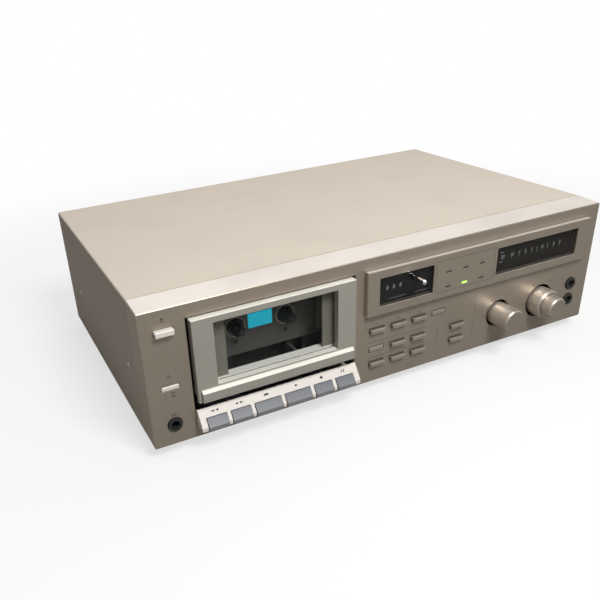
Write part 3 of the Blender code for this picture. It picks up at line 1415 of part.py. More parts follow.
def transformer():
    """A laminated core on edge with its winding bulging out at the front and the back."""
    x = LEFT_X + TRANSFORMER_INSET
    depth = CASE_DEPTH - TRANSFORMER_REAR
    foot = PAN_TOP + SEAT
    core = box("transformer", around(x, CORE_W), around(depth, CORE_D), (foot, foot + CORE_H))
    coil = around(depth, CORE_D + 2 * COIL_BULGE)
    wide = around(x, CORE_W * COIL_W_SHARE)
    tall = around(foot + CORE_H / 2, CORE_H * COIL_H_SHARE)
    join(core, box("winding", wide, coil, tall, COIL_BULGE / 2))
    return finish(core, "black")


def line_jacks():
    """Four line sockets on one plate: barrels outside, bodies through the rear panel."""
    places = line_places()
    x = middle((places[0][0], places[-1][0]))
    face = (REAR_FACE + SEAT, REAR_FACE + SEAT + LINE_PLATE_T)
    xs = around(x, LINE_PITCH_X + 2 * LINE_MARGIN)
    heights = around(LINE_RISE, LINE_PITCH_Z + 2 * LINE_MARGIN)
    jacks = box("line_jacks", xs, face, heights)
    outer = CASE_DEPTH + REAR_REACH
    for k, (x, height) in enumerate(places):
        join(jacks, rod(f"barrel_{k}", "Y", (x, height), (face[1] - LAP, outer), BARREL_R))
        body = (REAR_FACE - REAR_REACH, face[0] + LAP)
        join(jacks, rod(f"socket_{k}", "Y", (x, height), body, LINE_HOLE_R - SEAT))
        bore = (REAR_FACE - REAR_REACH / 2, outer + OVERRUN)
        cut(jacks, rod(f"pin_bore_{k}", "Y", (x, height), bore, PIN_BORE_R, SMALL_SIDES))
    return finish(jacks, "black")


def cord_gland():
    """The bush where a mains cord would enter; no cord is shown, so none is made."""
    face = -(REAR_FACE + SEAT)
    inner = -(REAR_FACE - REAR_T - GLAND_REACH)
    profile = [
        (GLAND_BORE_R, inner),
        (GLAND_R, inner),
        (GLAND_R, face),
        (GLAND_FLANGE_R, face),
        (GLAND_FLANGE_R, face - GLAND_FLANGE_T / 2),
        (GLAND_R, face - GLAND_FLANGE_T),
        (GLAND_R, face - GLAND_REACH),
        (GLAND_BORE_R, face - GLAND_REACH),
    ]
    place = (LEFT_X + GLAND_INSET, 0, GLAND_RISE)
    return finish(turned("cord_gland", profile, place, closed=True, sides=ROUND_SIDES), "rubber")


def build():
    front_panel()
    top_cover()
    base_pan()
    rear_panel()
    feet()
    door_frame()
    door_pane()
    cassette_holder()
    deck_chassis()
    lamp_window()
    spindles()
    capstan_flywheel()
    head_carriage()
    record_head()
    pinch_roller()
    capstan_motor()
    reel_motor()
    drive_belt()
    key_bezel()
    keys()
    buttons()
    display_bezel()
    display_lens()
    counter_frame()
    counter_drums()
    counter_reset_button()
    knobs()
    jack_block("phones_jack", COLUMN_X, (PHONES_RISE,))
    jack_block("mic_jack_block", MIC_X, MIC_RISES)
    control_board()
    main_board()
    transformer()
    line_jacks()
    cord_gland()


build()
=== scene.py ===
# Finishes, printing and small hardware for the cassette deck.
# Lengths are in millimetres. A place is x, the depth behind the front face
# and the height above the panel's foot.
import math

import bmesh
import bpy
from mathutils import Matrix, Vector


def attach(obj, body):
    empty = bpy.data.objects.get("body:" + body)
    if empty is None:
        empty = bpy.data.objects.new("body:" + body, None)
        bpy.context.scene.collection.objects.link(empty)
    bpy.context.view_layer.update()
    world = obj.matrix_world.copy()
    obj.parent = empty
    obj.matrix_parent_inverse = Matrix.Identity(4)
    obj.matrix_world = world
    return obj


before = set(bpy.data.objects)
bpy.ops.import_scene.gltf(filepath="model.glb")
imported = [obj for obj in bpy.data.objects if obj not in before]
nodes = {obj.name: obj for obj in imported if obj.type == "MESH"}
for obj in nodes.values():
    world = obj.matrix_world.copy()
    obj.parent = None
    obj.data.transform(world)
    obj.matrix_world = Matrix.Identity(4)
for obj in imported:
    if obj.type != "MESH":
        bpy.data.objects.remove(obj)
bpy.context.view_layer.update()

print("frame loaded,", len(nodes), "nodes")

mm = 0.001
frontY = -123.25
footHeight = 10.0
inkDepth = 0.06

# finishes: colours are linear; grain is noise cells per metre along x, y and z;
# a facing entry paints light and shade by the way a face turns: a direction, where its colour starts and is
# full, and the colour
finishes = {
    "panelAluminium": {
        "colour": (0.34, 0.292, 0.235), "second": (0.39, 0.336, 0.272), "grain": (18, 900, 2600),
        "rough": (0.34, 0.46), "bump": 0.05, "metallic": 0.55,
        # painted highlight on the upward faces and bevels; the ends take nearly the cover's darker side
        # colour, which is painted shade
        "facing": [("Z", 0.8, 0.97, (0.88, 0.82, 0.75)), ("X", -0.6, -0.9, (0.58, 0.50, 0.41)),
                   ("X", 0.6, 0.9, (0.58, 0.50, 0.41))],
        "nodes": ["front_panel", "display_bezel"]},
    "coverPaint": {
        "colour": (0.65, 0.575, 0.483), "second": (0.71, 0.63, 0.533), "grain": (900, 900, 900),
        "rough": (0.42, 0.55), "bump": 0.08, "metallic": 0.1,
        # painted shade: the sides are darker than the top
        "facing": [("X", -0.6, -0.9, (0.55, 0.48, 0.40)), ("X", 0.6, 0.9, (0.55, 0.48, 0.40))],
        "nodes": ["top_cover"]},
    "zincSheet": {
        "colour": (0.50, 0.50, 0.48), "second": (0.60, 0.60, 0.58), "grain": (160, 160, 160),
        "rough": (0.3, 0.5), "bump": 0.04, "metallic": 0.9,
        "nodes": ["base_pan", "head_carriage", "capstan_flywheel", "capstan_motor", "reel_motor"]},
    "polishedSteel": {
        "colour": (0.68, 0.67, 0.64), "second": (0.74, 0.73, 0.70), "grain": (900, 60, 900),
        "rough": (0.14, 0.24), "bump": 0.02, "metallic": 1.0,
        "nodes": ["record_head", "counter_reset_button"]},
    "rearPaint": {
        "colour": (0.045, 0.045, 0.045), "second": (0.06, 0.06, 0.058), "grain": (1200, 1200, 1200),
        "rough": (0.45, 0.6), "bump": 0.12, "metallic": 0.0, "nodes": ["rear_panel"]},
    "doorAluminium": {
        "colour": (0.335, 0.322, 0.278), "second": (0.39, 0.376, 0.328), "grain": (18, 900, 2600),
        "rough": (0.52, 0.66), "bump": 0.05, "metallic": 0.12,
        # painted highlight: upward faces and bevels are much lighter
        "facing": [("Z", 0.3, 0.55, (0.84, 0.81, 0.74))], "nodes": ["door_frame"]},
    "creamPlastic": {
        "colour": (0.80, 0.755, 0.70), "second": (0.86, 0.82, 0.76), "grain": (500, 500, 500),
        "rough": (0.38, 0.5), "bump": 0.05, "metallic": 0.0,
        "nodes": ["key_bezel", "eject_button", "power_button"]},
    "keyPlastic": {
        "colour": (0.135, 0.145, 0.165), "second": (0.155, 0.166, 0.186), "grain": (500, 500, 500),
        "rough": (0.42, 0.52), "bump": 0.01, "metallic": 0.0,
        "fade": ((footHeight + 17.0) * mm, (footHeight + 11.0) * mm, (0.21, 0.215, 0.225)),
        "nodes": ["rewind_key", "fast_forward_key", "stop_key", "play_key", "record_key", "pause_key"]},
    "buttonLacquer": {
        "colour": (0.31, 0.27, 0.22), "second": (0.37, 0.325, 0.265), "grain": (60, 600, 900),
        "rough": (0.4, 0.5), "bump": 0.04, "metallic": 0.3,
        # painted shade: the button tops are dark
        "facing": [("Z", 0.75, 0.97, (0.15, 0.13, 0.105))],
        "nodes": [n for n in nodes if n.endswith("_button")
                  and n not in ("eject_button", "power_button", "counter_reset_button")]},
    "knobAluminium": {
        # painted light and painted reflection: the sides are coloured bright as if lit, and the front faces
        # darker as if they mirror dark surroundings
        "colour": (0.74, 0.67, 0.59), "second": (0.80, 0.73, 0.65), "grain": (700, 40, 700),
        "rough": (0.32, 0.42), "bump": 0.04, "metallic": 0.75,
        "facing": [("Y", -0.5, -0.8, (0.38, 0.33, 0.28))],
        "nodes": ["output_knob", "record_knob_outer", "record_knob_inner"]},
    "blackPlastic": {
        "colour": (0.018, 0.018, 0.018), "second": (0.03, 0.03, 0.03), "grain": (700, 700, 700),
        "rough": (0.35, 0.5), "bump": 0.06, "metallic": 0.0,
        "nodes": ["counter_frame", "hundreds_drum", "tens_drum", "units_drum", "supply_spindle",
                  "takeup_spindle", "phones_jack", "mic_jack_block", "line_jacks"]},
    "softRubber": {
        "colour": (0.02, 0.02, 0.02), "second": (0.035, 0.033, 0.03), "grain": (900, 900, 900),
        "rough": (0.7, 0.9), "bump": 0.1, "metallic": 0.0,
        "nodes": ["foot_front_left", "foot_front_right", "foot_rear_left", "foot_rear_right",
                  "pinch_roller", "drive_belt", "cord_gland"]},
    "varnishedIron": {
        "colour": (0.05, 0.04, 0.035), "second": (0.09, 0.07, 0.055), "grain": (40, 2200, 40),
        "rough": (0.4, 0.6), "bump": 0.12, "metallic": 0.3, "nodes": ["transformer"]},
    "rimGrey": {
        "colour": (0.34, 0.34, 0.31), "second": (0.40, 0.40, 0.37), "grain": (600, 600, 600),
        "rough": (0.35, 0.5), "bump": 0.03, "metallic": 0.0, "nodes": []},
    "printingInk": {
        "colour": (0.035, 0.032, 0.028), "second": (0.05, 0.045, 0.04), "grain": (800, 800, 800),
        "rough": (0.5, 0.6), "bump": 0.02, "metallic": 0.0, "nodes": []},
    "whiteInk": {
        "colour": (0.84, 0.84, 0.80), "second": (0.90, 0.90, 0.86), "grain": (800, 800, 800),
        "rough": (0.5, 0.6), "bump": 0.02, "metallic": 0.0, "nodes": []},
    "figureInk": {
        "colour": (0.85, 0.85, 0.80), "second": (0.90, 0.90, 0.86), "grain": (800, 800, 800),
        "rough": (0.5, 0.6), "bump": 0.01, "metallic": 0.0, "shine": 0.25, "nodes": []},
    "whitePlastic": {
        "colour": (0.72, 0.71, 0.67), "second": (0.78, 0.77, 0.73), "grain": (500, 500, 500),
        "rough": (0.35, 0.45), "bump": 0.04, "metallic": 0.0, "nodes": []},
    "redPlastic": {
        "colour": (0.42, 0.03, 0.025), "second": (0.48, 0.045, 0.035), "grain": (500, 500, 500),
        "rough": (0.35, 0.45), "bump": 0.04, "metallic": 0.0, "nodes": []},
    "darkLamp": {
        "colour": (0.06, 0.055, 0.045), "second": (0.09, 0.08, 0.065), "grain": (300, 300, 300),
        "rough": (0.2, 0.3), "bump": 0.02, "metallic": 0.0, "nodes": []},
}
# two-tone pieces: below the limit along the axis the other colour shows
twoTone = {
    # the holder's two colours are partly its own and partly painted light: the pale sill stands for the lit
    # floor of the well, the dark olive above for its shaded walls
    "holderTonesAndShade": {
        "colour": (0.21, 0.205, 0.165), "other": (0.95, 0.95, 0.89),
        "axis": "Z", "limit": (footHeight + 43.3) * mm, "rough": (0.4, 0.52), "nodes": ["cassette_holder"]},
    # the chassis is nearly black below the limit, at the foot of the head opening
    "deckPaint": {
        "colour": (0.14, 0.135, 0.12), "other": (0.010, 0.010, 0.010),
        "axis": "Z", "limit": (footHeight + 42.5) * mm, "rough": (0.45, 0.6), "nodes": ["deck_chassis"]},
    "boardLaminate": {
        "colour": (0.22, 0.15, 0.06), "other": (0.012, 0.012, 0.013),
        "axis": "Y", "limit": (frontY + 15.0) * mm, "rough": (0.4, 0.6),
        "nodes": ["control_board", "main_board"]},
}
# see-through pieces: cover is how much of what lies behind is hidden
panes = {
    "clearAcrylic": {"colour": (0.03, 0.034, 0.032), "rough": 0.04, "cover": 0.07, "nodes": ["door_pane"]},
    "smokedAcrylic": {"colour": (0.010, 0.010, 0.011), "rough": 0.04, "cover": 0.3,
                      "nodes": ["display_lens"]},
}
# lit pieces
glows = {
    "lampAcrylic": {"colour": (0.0, 0.28, 0.42), "second": (0.01, 0.38, 0.46), "strength": 0.9,
                    "rough": 0.3, "grain": (30, 30, 60), "nodes": ["lamp_window"]},
    "greenLamp": {"colour": (0.28, 0.75, 0.06), "second": (0.55, 0.92, 0.20), "strength": 1.3,
                  "rough": 0.3, "grain": (120, 120, 300), "nodes": []},
}
smudges = {"grain": (16, 16, 16), "detail": 5, "start": 0.45, "full": 0.75, "most": 0.16, "dull": 0.72}
wear = {"grain": (500, 500, 500), "most": 0.2, "pale": 1.25, "bump": 0.06}
haze = {"grain": (60, 60, 60), "dull": 0.96}
bumpReach = 0.1
materials = {}


def addNode(tree, kind, **settings):
    node = tree.nodes.new(kind)
    for key, value in settings.items():
        setattr(node, key, value)
    return node


def startMaterial(name):
    material = bpy.data.materials.new(name)
    material.use_nodes = True
    tree = material.node_tree
    materials[name] = material
    return tree, tree.nodes["Principled BSDF"]


def objectPlace(tree):
    return addNode(tree, "ShaderNodeTexCoord").outputs["Object"]


def alongAxis(tree, vector, axis):
    split = addNode(tree, "ShaderNodeSeparateXYZ")
    tree.links.new(vector, split.inputs["Vector"])
    return split.outputs[axis]


def grainNoise(tree, grain, detail=3):
    mapping = addNode(tree, "ShaderNodeMapping")
    mapping.inputs["Scale"].default_value = grain
    noise = addNode(tree, "ShaderNodeTexNoise")
    noise.inputs["Scale"].default_value = 1
    noise.inputs["Detail"].default_value = detail
    tree.links.new(objectPlace(tree), mapping.inputs["Vector"])
    tree.links.new(mapping.outputs["Vector"], noise.inputs["Vector"])
    return noise.outputs["Fac"]


def ramp(tree, value, start, full, most=1.0):
    # nothing where the value is at start, most where it is at full
    spread = addNode(tree, "ShaderNodeMapRange")
    spread.inputs["From Min"].default_value = start
    spread.inputs["From Max"].default_value = full
    spread.inputs["To Max"].default_value = most
    tree.links.new(value, spread.inputs["Value"])
    return spread.outputs["Result"]


def combine(tree, operation, first, second):
    # two values, or a value and a number
    node = addNode(tree, "ShaderNodeMath", operation=operation)
    tree.links.new(first, node.inputs[0])
    if isinstance(second, float):
        node.inputs[1].default_value = second
    else:
        tree.links.new(second, node.inputs[1])
    return node.outputs["Value"]


def mixColours(tree, factor, first, second):
    mix = addNode(tree, "ShaderNodeMix", data_type="RGBA")
    tree.links.new(factor, mix.inputs[0])
    for socket, value in ((mix.inputs[6], first), (mix.inputs[7], second)):
        if isinstance(value, tuple):
            socket.default_value = (*value, 1)
        else:
            tree.links.new(value, socket)
    return mix.outputs[2]


def toned(colour, share):
    return tuple(c * share for c in colour)


def roughFrom(tree, shader, noise, span):
    spread = addNode(tree, "ShaderNodeMapRange")
    spread.inputs["To Min"].default_value, spread.inputs["To Max"].default_value = span
    tree.links.new(noise, spread.inputs["Value"])
    tree.links.new(spread.outputs["Result"], shader.inputs["Roughness"])


def bumpFrom(tree, shader, noise, amount):
    bump = addNode(tree, "ShaderNodeBump")
    bump.inputs["Strength"].default_value = amount
    bump.inputs["Distance"].default_value = bumpReach * mm
    tree.links.new(noise, bump.inputs["Height"])
    tree.links.new(bump.outputs["Normal"], shader.inputs["Normal"])


def makeFinish(name, look):
    tree, shader = startMaterial(name)
    noise = grainNoise(tree, look["grain"])
    colour = mixColours(tree, noise, look["colour"], look["second"])
    if "fade" in look:  # another colour towards the foot
        start, full, other = look["fade"]
        height = alongAxis(tree, objectPlace(tree), "Z")
        colour = mixColours(tree, ramp(tree, height, start, full), colour, other)
    for axis, start, full, other in look.get("facing", ()):  # painted light and shade: a face turned one way gets the lit or shaded colour given for that way
        normal = addNode(tree, "ShaderNodeNewGeometry").outputs["Normal"]
        colour = mixColours(tree, ramp(tree, alongAxis(tree, normal, axis), start, full), colour, other)
    spots = grainNoise(tree, smudges["grain"], smudges["detail"])
    thin = ramp(tree, spots, smudges["start"], smudges["full"], smudges["most"])
    dulled = mixColours(tree, thin, colour, toned(look["colour"], smudges["dull"]))
    tree.links.new(dulled, shader.inputs["Base Color"])
    roughFrom(tree, shader, noise, look["rough"])
    bumpFrom(tree, shader, noise, look["bump"])
    shader.inputs["Metallic"].default_value = look["metallic"]
    # painted light: the counter figures glow a little, though no lamp lights them
    if "shine" in look:
        tree.links.new(colour, shader.inputs["Emission Color"])
        shader.inputs["Emission Strength"].default_value = look["shine"]


def makeTwoTone(name, look):
    tree, shader = startMaterial(name)
    noise = grainNoise(tree, wear["grain"])
    below = combine(tree, "LESS_THAN", alongAxis(tree, objectPlace(tree), look["axis"]), look["limit"])
    tone = mixColours(tree, below, look["colour"], look["other"])
    worn = mixColours(tree, combine(tree, "MULTIPLY", noise, wear["most"]), tone,
                      toned(look["colour"], wear["pale"]))
    tree.links.new(worn, shader.inputs["Base Color"])
    roughFrom(tree, shader, noise, look["rough"])
    bumpFrom(tree, shader, noise, wear["bump"])


def makePane(name, look):
    tree, shader = startMaterial(name)
    noise = grainNoise(tree, haze["grain"])
    hazy = mixColours(tree, noise, look["colour"], toned(look["colour"], haze["dull"]))
    tree.links.new(hazy, shader.inputs["Base Color"])
    shader.inputs["Roughness"].default_value = look["rough"]
    shader.inputs["Alpha"].default_value = look["cover"]


def makeGlow(name, look):
    tree, shader = startMaterial(name)
    noise = grainNoise(tree, look["grain"])
    colour = mixColours(tree, noise, look["colour"], look["second"])
    tree.links.new(colour, shader.inputs["Base Color"])
    tree.links.new(colour, shader.inputs["Emission Color"])
    shader.inputs["Emission Strength"].default_value = look["strength"]
    shader.inputs["Roughness"].default_value = look["rough"]


makers = ((finishes, makeFinish), (twoTone, makeTwoTone), (panes, makePane), (glows, makeGlow))
for group, maker in makers:
    for name, look in group.items():
        maker(name, look)
        for node in look["nodes"]:
            nodes[node].data.materials.clear()
            nodes[node].data.materials.append(materials[name])
bare = [n for n, o in nodes.items() if o.data.materials[0].name not in materials]
print("finishes made,", len(materials), "materials, nodes without one:", bare)


# mesh helpers
def toPiece(name, bm, body, material):
    bmesh.ops.scale(bm, vec=(mm, mm, mm), verts=bm.verts)
    mesh = bpy.data.meshes.new(name)
    bm.to_mesh(mesh)
    bm.free()
    mesh.materials.append(materials[material])
    piece = bpy.data.objects.new(name, mesh)
    bpy.context.scene.collection.objects.link(piece)
    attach(piece, body)


def shift(bm, verts, x, depth, height):
    bmesh.ops.translate(bm, vec=(x, frontY + depth, footHeight + height), verts=verts)


marks = {"disc": (24, 0), "right": (3, -90), "left": (3, 90), "up": (3, 0), "square": (4, 45)}  # sides, turn
lettering = {"size": 1.4, "weight": 0.04, "steps": 3}


def addMark(bm, kind, x, height, wide, tall):
    # a thin mark in the plane of the front, centred on x and height
    if kind == "bar":
        verts = bmesh.ops.create_cube(bm, size=1)["verts"]
        bmesh.ops.scale(bm, vec=(wide, inkDepth, tall), verts=verts)
    else:
        sides, turn = marks[kind]
        verts = bmesh.ops.create_cone(
            bm, cap_ends=True, segments=sides, radius1=0.5, radius2=0.5, depth=inkDepth)["verts"]
        bmesh.ops.rotate(bm, verts=verts, matrix=Matrix.Rotation(math.radians(turn), 3, "Z"))
        bmesh.ops.rotate(bm, verts=verts, matrix=Matrix.Rotation(math.radians(90), 3, "X"))
        bmesh.ops.scale(bm, vec=(wide, 1, tall), verts=verts)
    bmesh.ops.translate(bm, vec=(x, 0, height), verts=verts)


def addText(bm, words, x, height, tall, wrap=None):
    # flat letters in the plane of the front; wrap bends them before they are joined in
    curve = bpy.data.curves.new("ink", "FONT")
    curve.body = words
    curve.size = tall * lettering["size"]
    curve.align_x = "CENTER"
    curve.align_y = "CENTER"
    curve.extrude = inkDepth / 2
    curve.offset = lettering["weight"] * tall
    curve.resolution_u = lettering["steps"]
    drawn = bpy.data.objects.new("ink", curve)
    bpy.context.scene.collection.objects.link(drawn)
    graph = bpy.context.evaluated_depsgraph_get()
    mesh = bpy.data.meshes.new_from_object(drawn.evaluated_get(graph))
    bpy.data.objects.remove(drawn)
    mesh.transform(Matrix.Translation((x, 0, height)) @ Matrix.Rotation(math.radians(90), 4, "X"))
    if wrap:
        wrap(mesh)
    bm.from_mesh(mesh)
    bpy.data.meshes.remove(mesh)


def addRing(bm, x, depths, height, inner, outer, steps=32):
    # a square-edged ring about an axis that runs to the front
    ring = bmesh.new()
    corners = [ring.verts.new((radius, depth, 0)) for radius, depth in
               ((inner, depths[0]), (outer, depths[0]), (outer, depths[1]), (inner, depths[1]))]
    edges = [ring.edges.new((corners[k], corners[(k + 1) % 4])) for k in range(4)]
    bmesh.ops.spin(ring, geom=corners + edges, cent=(0, 0, 0), axis=(0, 1, 0), angle=math.tau,
                   steps=steps, use_merge=True)
    bmesh.ops.remove_doubles(ring, verts=ring.verts, dist=0.001)
    bmesh.ops.recalc_face_normals(ring, faces=ring.faces)
    shift(ring, ring.verts[:], x, 0, height)
    mesh = bpy.data.meshes.new("ring")
    ring.to_mesh(mesh)
    ring.free()
    bm.from_mesh(mesh)
    bpy.data.meshes.remove(mesh)


def printOn(name, body, material, depth, shapes, words=()):
    bm = bmesh.new()
    for shape in shapes:
        addMark(bm, *shape)
    for word in words:
        addText(bm, *word)
    shift(bm, bm.verts[:], 0, depth, 0)
    toPiece(name, bm, body, material)


# printing on the front: generic numbers, ticks and signs only
printing = {
    "surface": -inkDepth / 2,
    "separators": [(78.9, 31.7, 39.4), (40.4, 25.4, 19.2)], "separatorWide": 0.18,
    "selectors": [("1", -20.4), ("2", -0.1), ("3", 20.3)], "selectorHeight": 52.2, "selectorTall": 1.7,
    "power": [("ON", 43.3), ("OFF", 40.6)], "powerX": -191.5, "powerTall": 1.3,
    "powerArrow": (-197.2, 1.3, 1.4),
    "leftSigns": [("up", -193.0, 101.4, 3.0, 2.4), ("bar", -193.0, 99.6, 2.6, 0.5),
                  ("bar", -193.0, 57.6, 0.4, 1.4), ("bar", -194.3, 25.0, 0.8, 1.3),
                  ("bar", -191.7, 25.0, 0.8, 1.3)],
    "brackets": [(-27.0, 26.9, 56.2), (-27.0, 26.9, 36.6), (-27.0, 26.9, 22.9)],
    "bracketLine": 0.2, "bracketLeg": 1.0,
}
dials = {"knobs": [("output", 105.8, 29.2, 14.6, 16.6), ("record", 153.9, 29.2, 17.6, 19.6)],
         "marks": 11, "start": 240, "step": 30, "tick": 0.6, "tall": 1.5}
shapes = [("bar", x, z, printing["separatorWide"], tall) for x, z, tall in printing["separators"]]
for left, right, z in printing["brackets"]:
    shapes.append(("bar", (left + right) / 2, z, right - left, printing["bracketLine"]))
    shapes += [("bar", x, z - printing["bracketLeg"] / 2, printing["bracketLine"], printing["bracketLeg"])
               for x in (left, right)]
arrowX, arrowWide, arrowTall = printing["powerArrow"]
shapes += [("left", arrowX, z, arrowWide, arrowTall) for _, z in printing["power"]]
shapes += printing["leftSigns"]
words = [(digit, x, printing["selectorHeight"], printing["selectorTall"])
         for digit, x in printing["selectors"]]
words += [(word, printing["powerX"], z, printing["powerTall"]) for word, z in printing["power"]]
for _, centreX, centreZ, tickRadius, numberRadius in dials["knobs"]:
    for k in range(dials["marks"]):
        angle = math.radians(dials["start"] - dials["step"] * k)
        along, up = math.cos(angle), math.sin(angle)
        shapes.append(("disc", centreX + tickRadius * along, centreZ + tickRadius * up,
                       dials["tick"], dials["tick"]))
        if k % 2 == 0:
            words.append((str(k), centreX + numberRadius * along, centreZ + numberRadius * up, dials["tall"]))
printOn("panel_printing", "case", "printingInk", printing["surface"], shapes, words)

# indicator lamps in an outlined field of the display
lampPlate = {"surface": -4.3, "left": 31.7, "right": 91.3, "foot": 66.8, "top": 93.6, "line": 0.22,
             "lampX": (44.2, 61.2, 78.2), "lampZ": (70.4, 83.3), "dashRise": 2.6, "dashSize": (3.4, 0.2)}
lampShape = {"size": (5.2, 0.9, 1.5), "edge": 0.2, "depth": -3.75, "lit": (0, 1)}
midX = (lampPlate["left"] + lampPlate["right"]) / 2
midZ = (lampPlate["foot"] + lampPlate["top"]) / 2
wide = lampPlate["right"] - lampPlate["left"]
tall = lampPlate["top"] - lampPlate["foot"]
outline = [("bar", midX, z, wide, lampPlate["line"]) for z in (lampPlate["foot"], lampPlate["top"])]
outline += [("bar", x, midZ, lampPlate["line"], tall) for x in (lampPlate["left"], lampPlate["right"])]
outline += [("bar", x, z + lampPlate["dashRise"], *lampPlate["dashSize"])
            for x in lampPlate["lampX"] for z in lampPlate["lampZ"]]
printOn("lamp_plate_printing", "case", "printingInk", lampPlate["surface"] - inkDepth / 2, outline)

for row, z in enumerate(lampPlate["lampZ"]):
    for column, x in enumerate(lampPlate["lampX"]):
        bm = bmesh.new()
        bmesh.ops.create_cube(bm, size=1)
        bmesh.ops.scale(bm, vec=lampShape["size"], verts=bm.verts)
        bmesh.ops.bevel(bm, geom=bm.edges[:], offset=lampShape["edge"], segments=2, profile=0.5,
                        affect="EDGES", material=-1)
        shift(bm, bm.verts[:], x, lampShape["depth"], z)
        toPiece(f"lamp_{row}_{column}", bm, "case",
                "greenLamp" if (row, column) == lampShape["lit"] else "darkLamp")
print("front printed")

# level meter: a plain scale in figures, with a mark under each
meter = {
    "depth": -1.14, "height": 82.0, "tall": 3.0, "dashDrop": 2.6, "dash": (0.5, 1.2),
    "scale": [("20", 103), ("10", 113), ("7", 121), ("5", 128), ("3", 135),
              ("1", 141), ("0", 147), ("1", 153), ("3", 160), ("5", 167)],
    "segments": {"x": 100.5, "step": 1.6, "count": 2, "heights": (86.2, 77.6), "size": (1.1, 1.2)},
    "underlines": [(-2.8, 71.9, 17.3, 0.35), (19.6, 71.9, 11.6, 0.35)]}
lit = meter["segments"]
bars = [("bar", lit["x"] + lit["step"] * k, z, *lit["size"])
        for z in lit["heights"] for k in range(lit["count"])]
bars += [("bar", x, meter["height"] - meter["dashDrop"], *meter["dash"]) for _, x in meter["scale"]]
bars += [("bar", *line) for line in meter["underlines"]]
printOn("lens_printing", "case", "whiteInk", meter["depth"], bars,
        [(digit, x, meter["height"], meter["tall"]) for digit, x in meter["scale"]])

# number drums: ten digits round each, 0 to the front
drums = {"hundreds_drum": -10.5, "tens_drum": -4.3, "units_drum": 1.9}
drumShape = {"depth": 9.4, "height": 80.0, "radius": 7.04, "digit": 3.3, "lead": math.radians(4),
             "aside": 0.6}


def wrapDigit(mesh, turn):
    # a flat digit bent round the drum and turned to its place on it
    for vertex in mesh.vertices:
        reach = drumShape["radius"] - vertex.co.y
        angle = vertex.co.z / drumShape["radius"]
        vertex.co.y = -reach * math.cos(angle)
        vertex.co.z = reach * math.sin(angle)
    mesh.transform(Matrix.Rotation(turn, 4, "X"))


for drum, x in drums.items():
    bm = bmesh.new()
    for digit in range(10):
        addText(bm, str(digit), 0, 0, drumShape["digit"],
                lambda mesh, k=digit: wrapDigit(mesh, drumShape["lead"] + math.tau * k / 10))
    shift(bm, bm.verts[:], x + drumShape["aside"], drumShape["depth"], drumShape["height"])
    toPiece(f"{drum}_digits", bm, f"{drum}_body", "figureInk")
print("meter and counter done")

# signs on the sloping strip over the keys
strip = {"height": 21.6, "lean": 35.3, "face": -4.2, "tall": 2.2, "signs": {
    "rewind": (-163.3, ("left", "left")), "forward": (-144.0, ("right", "right")),
    "stop": (-121.7, ("square",)), "play": (-96.3, ("right",)),
    "record": (-74.0, ("disc",)), "pause": (-54.7, ("bar", "bar"))}}
signSize = {"left": (3.6, 3.4), "right": (3.6, 3.4), "square": (5.4, 3.4), "disc": (2.6, 0),
            "bar": (0.9, 2.0)}  # width, step to the next
bm = bmesh.new()
for x, kinds in strip["signs"].values():
    for k, kind in enumerate(kinds):
        wide, step = signSize[kind]
        addMark(bm, kind, x + step * (k - (len(kinds) - 1) / 2), 0, wide, strip["tall"])
bmesh.ops.rotate(bm, verts=bm.verts, matrix=Matrix.Rotation(math.radians(-strip["lean"]), 3, "X"))
shift(bm, bm.verts[:], 0, strip["face"], strip["height"])
toPiece("key_signs", bm, "case", "printingInk")

# rims, collars and liners
hubX, hubHeight = (-129.55, -87.05), 66.6
columnX, micX = -193.0, 190.2
lineX, lineHeights = (130.0, 150.0), (53.0, 71.0)
rims = {  # each ring: x, depths, height, inner and outer radius
    "panel_rings": ("printingInk", [(columnX, (-inkDepth, 0), z, 1.0, 1.25) for z in (56.7, 25.6)]),
    "hub_rims": ("rimGrey", [(x, (27.9, 28.5), hubHeight, 7.1, 8.5) for x in hubX]),
    "phones_collar": ("blackPlastic", [(columnX, (-1.5, -0.85), 17.1, 3.3, 5.3)]),
    "mic_collars": ("blackPlastic", [(micX, (-1.5, -0.85), z, 3.3, 5.3) for z in (37.6, 22.0)]),
    "line_rings_left": ("whitePlastic", [(lineX[1], (261.5, 262.3), z, 4.2, 5.6) for z in lineHeights]),
    "line_rings_right": ("redPlastic", [(lineX[0], (261.5, 262.3), z, 4.2, 5.6) for z in lineHeights]),
    "line_liners": ("polishedSteel", [(x, (262.0, 268.4), z, 3.0, 3.9)
                                      for x in lineX for z in lineHeights]),
}
for name, (material, rings) in rims.items():
    bm = bmesh.new()
    for x, depths, z, inner, outer in rings:
        addRing(bm, x, depths, z, inner, outer)
    toPiece(name, bm, "case", material)

# pointers on the knobs
pointerShape = {"wide": 0.7, "thick": 0.12, "height": 29.2}
pointers = {"output": ("output_control", 105.8, 10.1, (-20.6, -14.0)),
            "record_outer": ("record_control_outer", 153.9, 13.0, (-10.4, -4.0)),
            "record_inner": ("record_control_inner", 153.9, 9.7, (-20.6, -14.4))}
for name, (body, x, radius, depths) in pointers.items():
    bm = bmesh.new()
    bmesh.ops.create_cube(bm, size=1)
    bmesh.ops.scale(bm, vec=(pointerShape["wide"], depths[1] - depths[0], pointerShape["thick"]),
                    verts=bm.verts)
    shift(bm, bm.verts[:], x, sum(depths) / 2, pointerShape["height"] + radius)
    toPiece(f"{name}_pointer", bm, body, "printingInk")

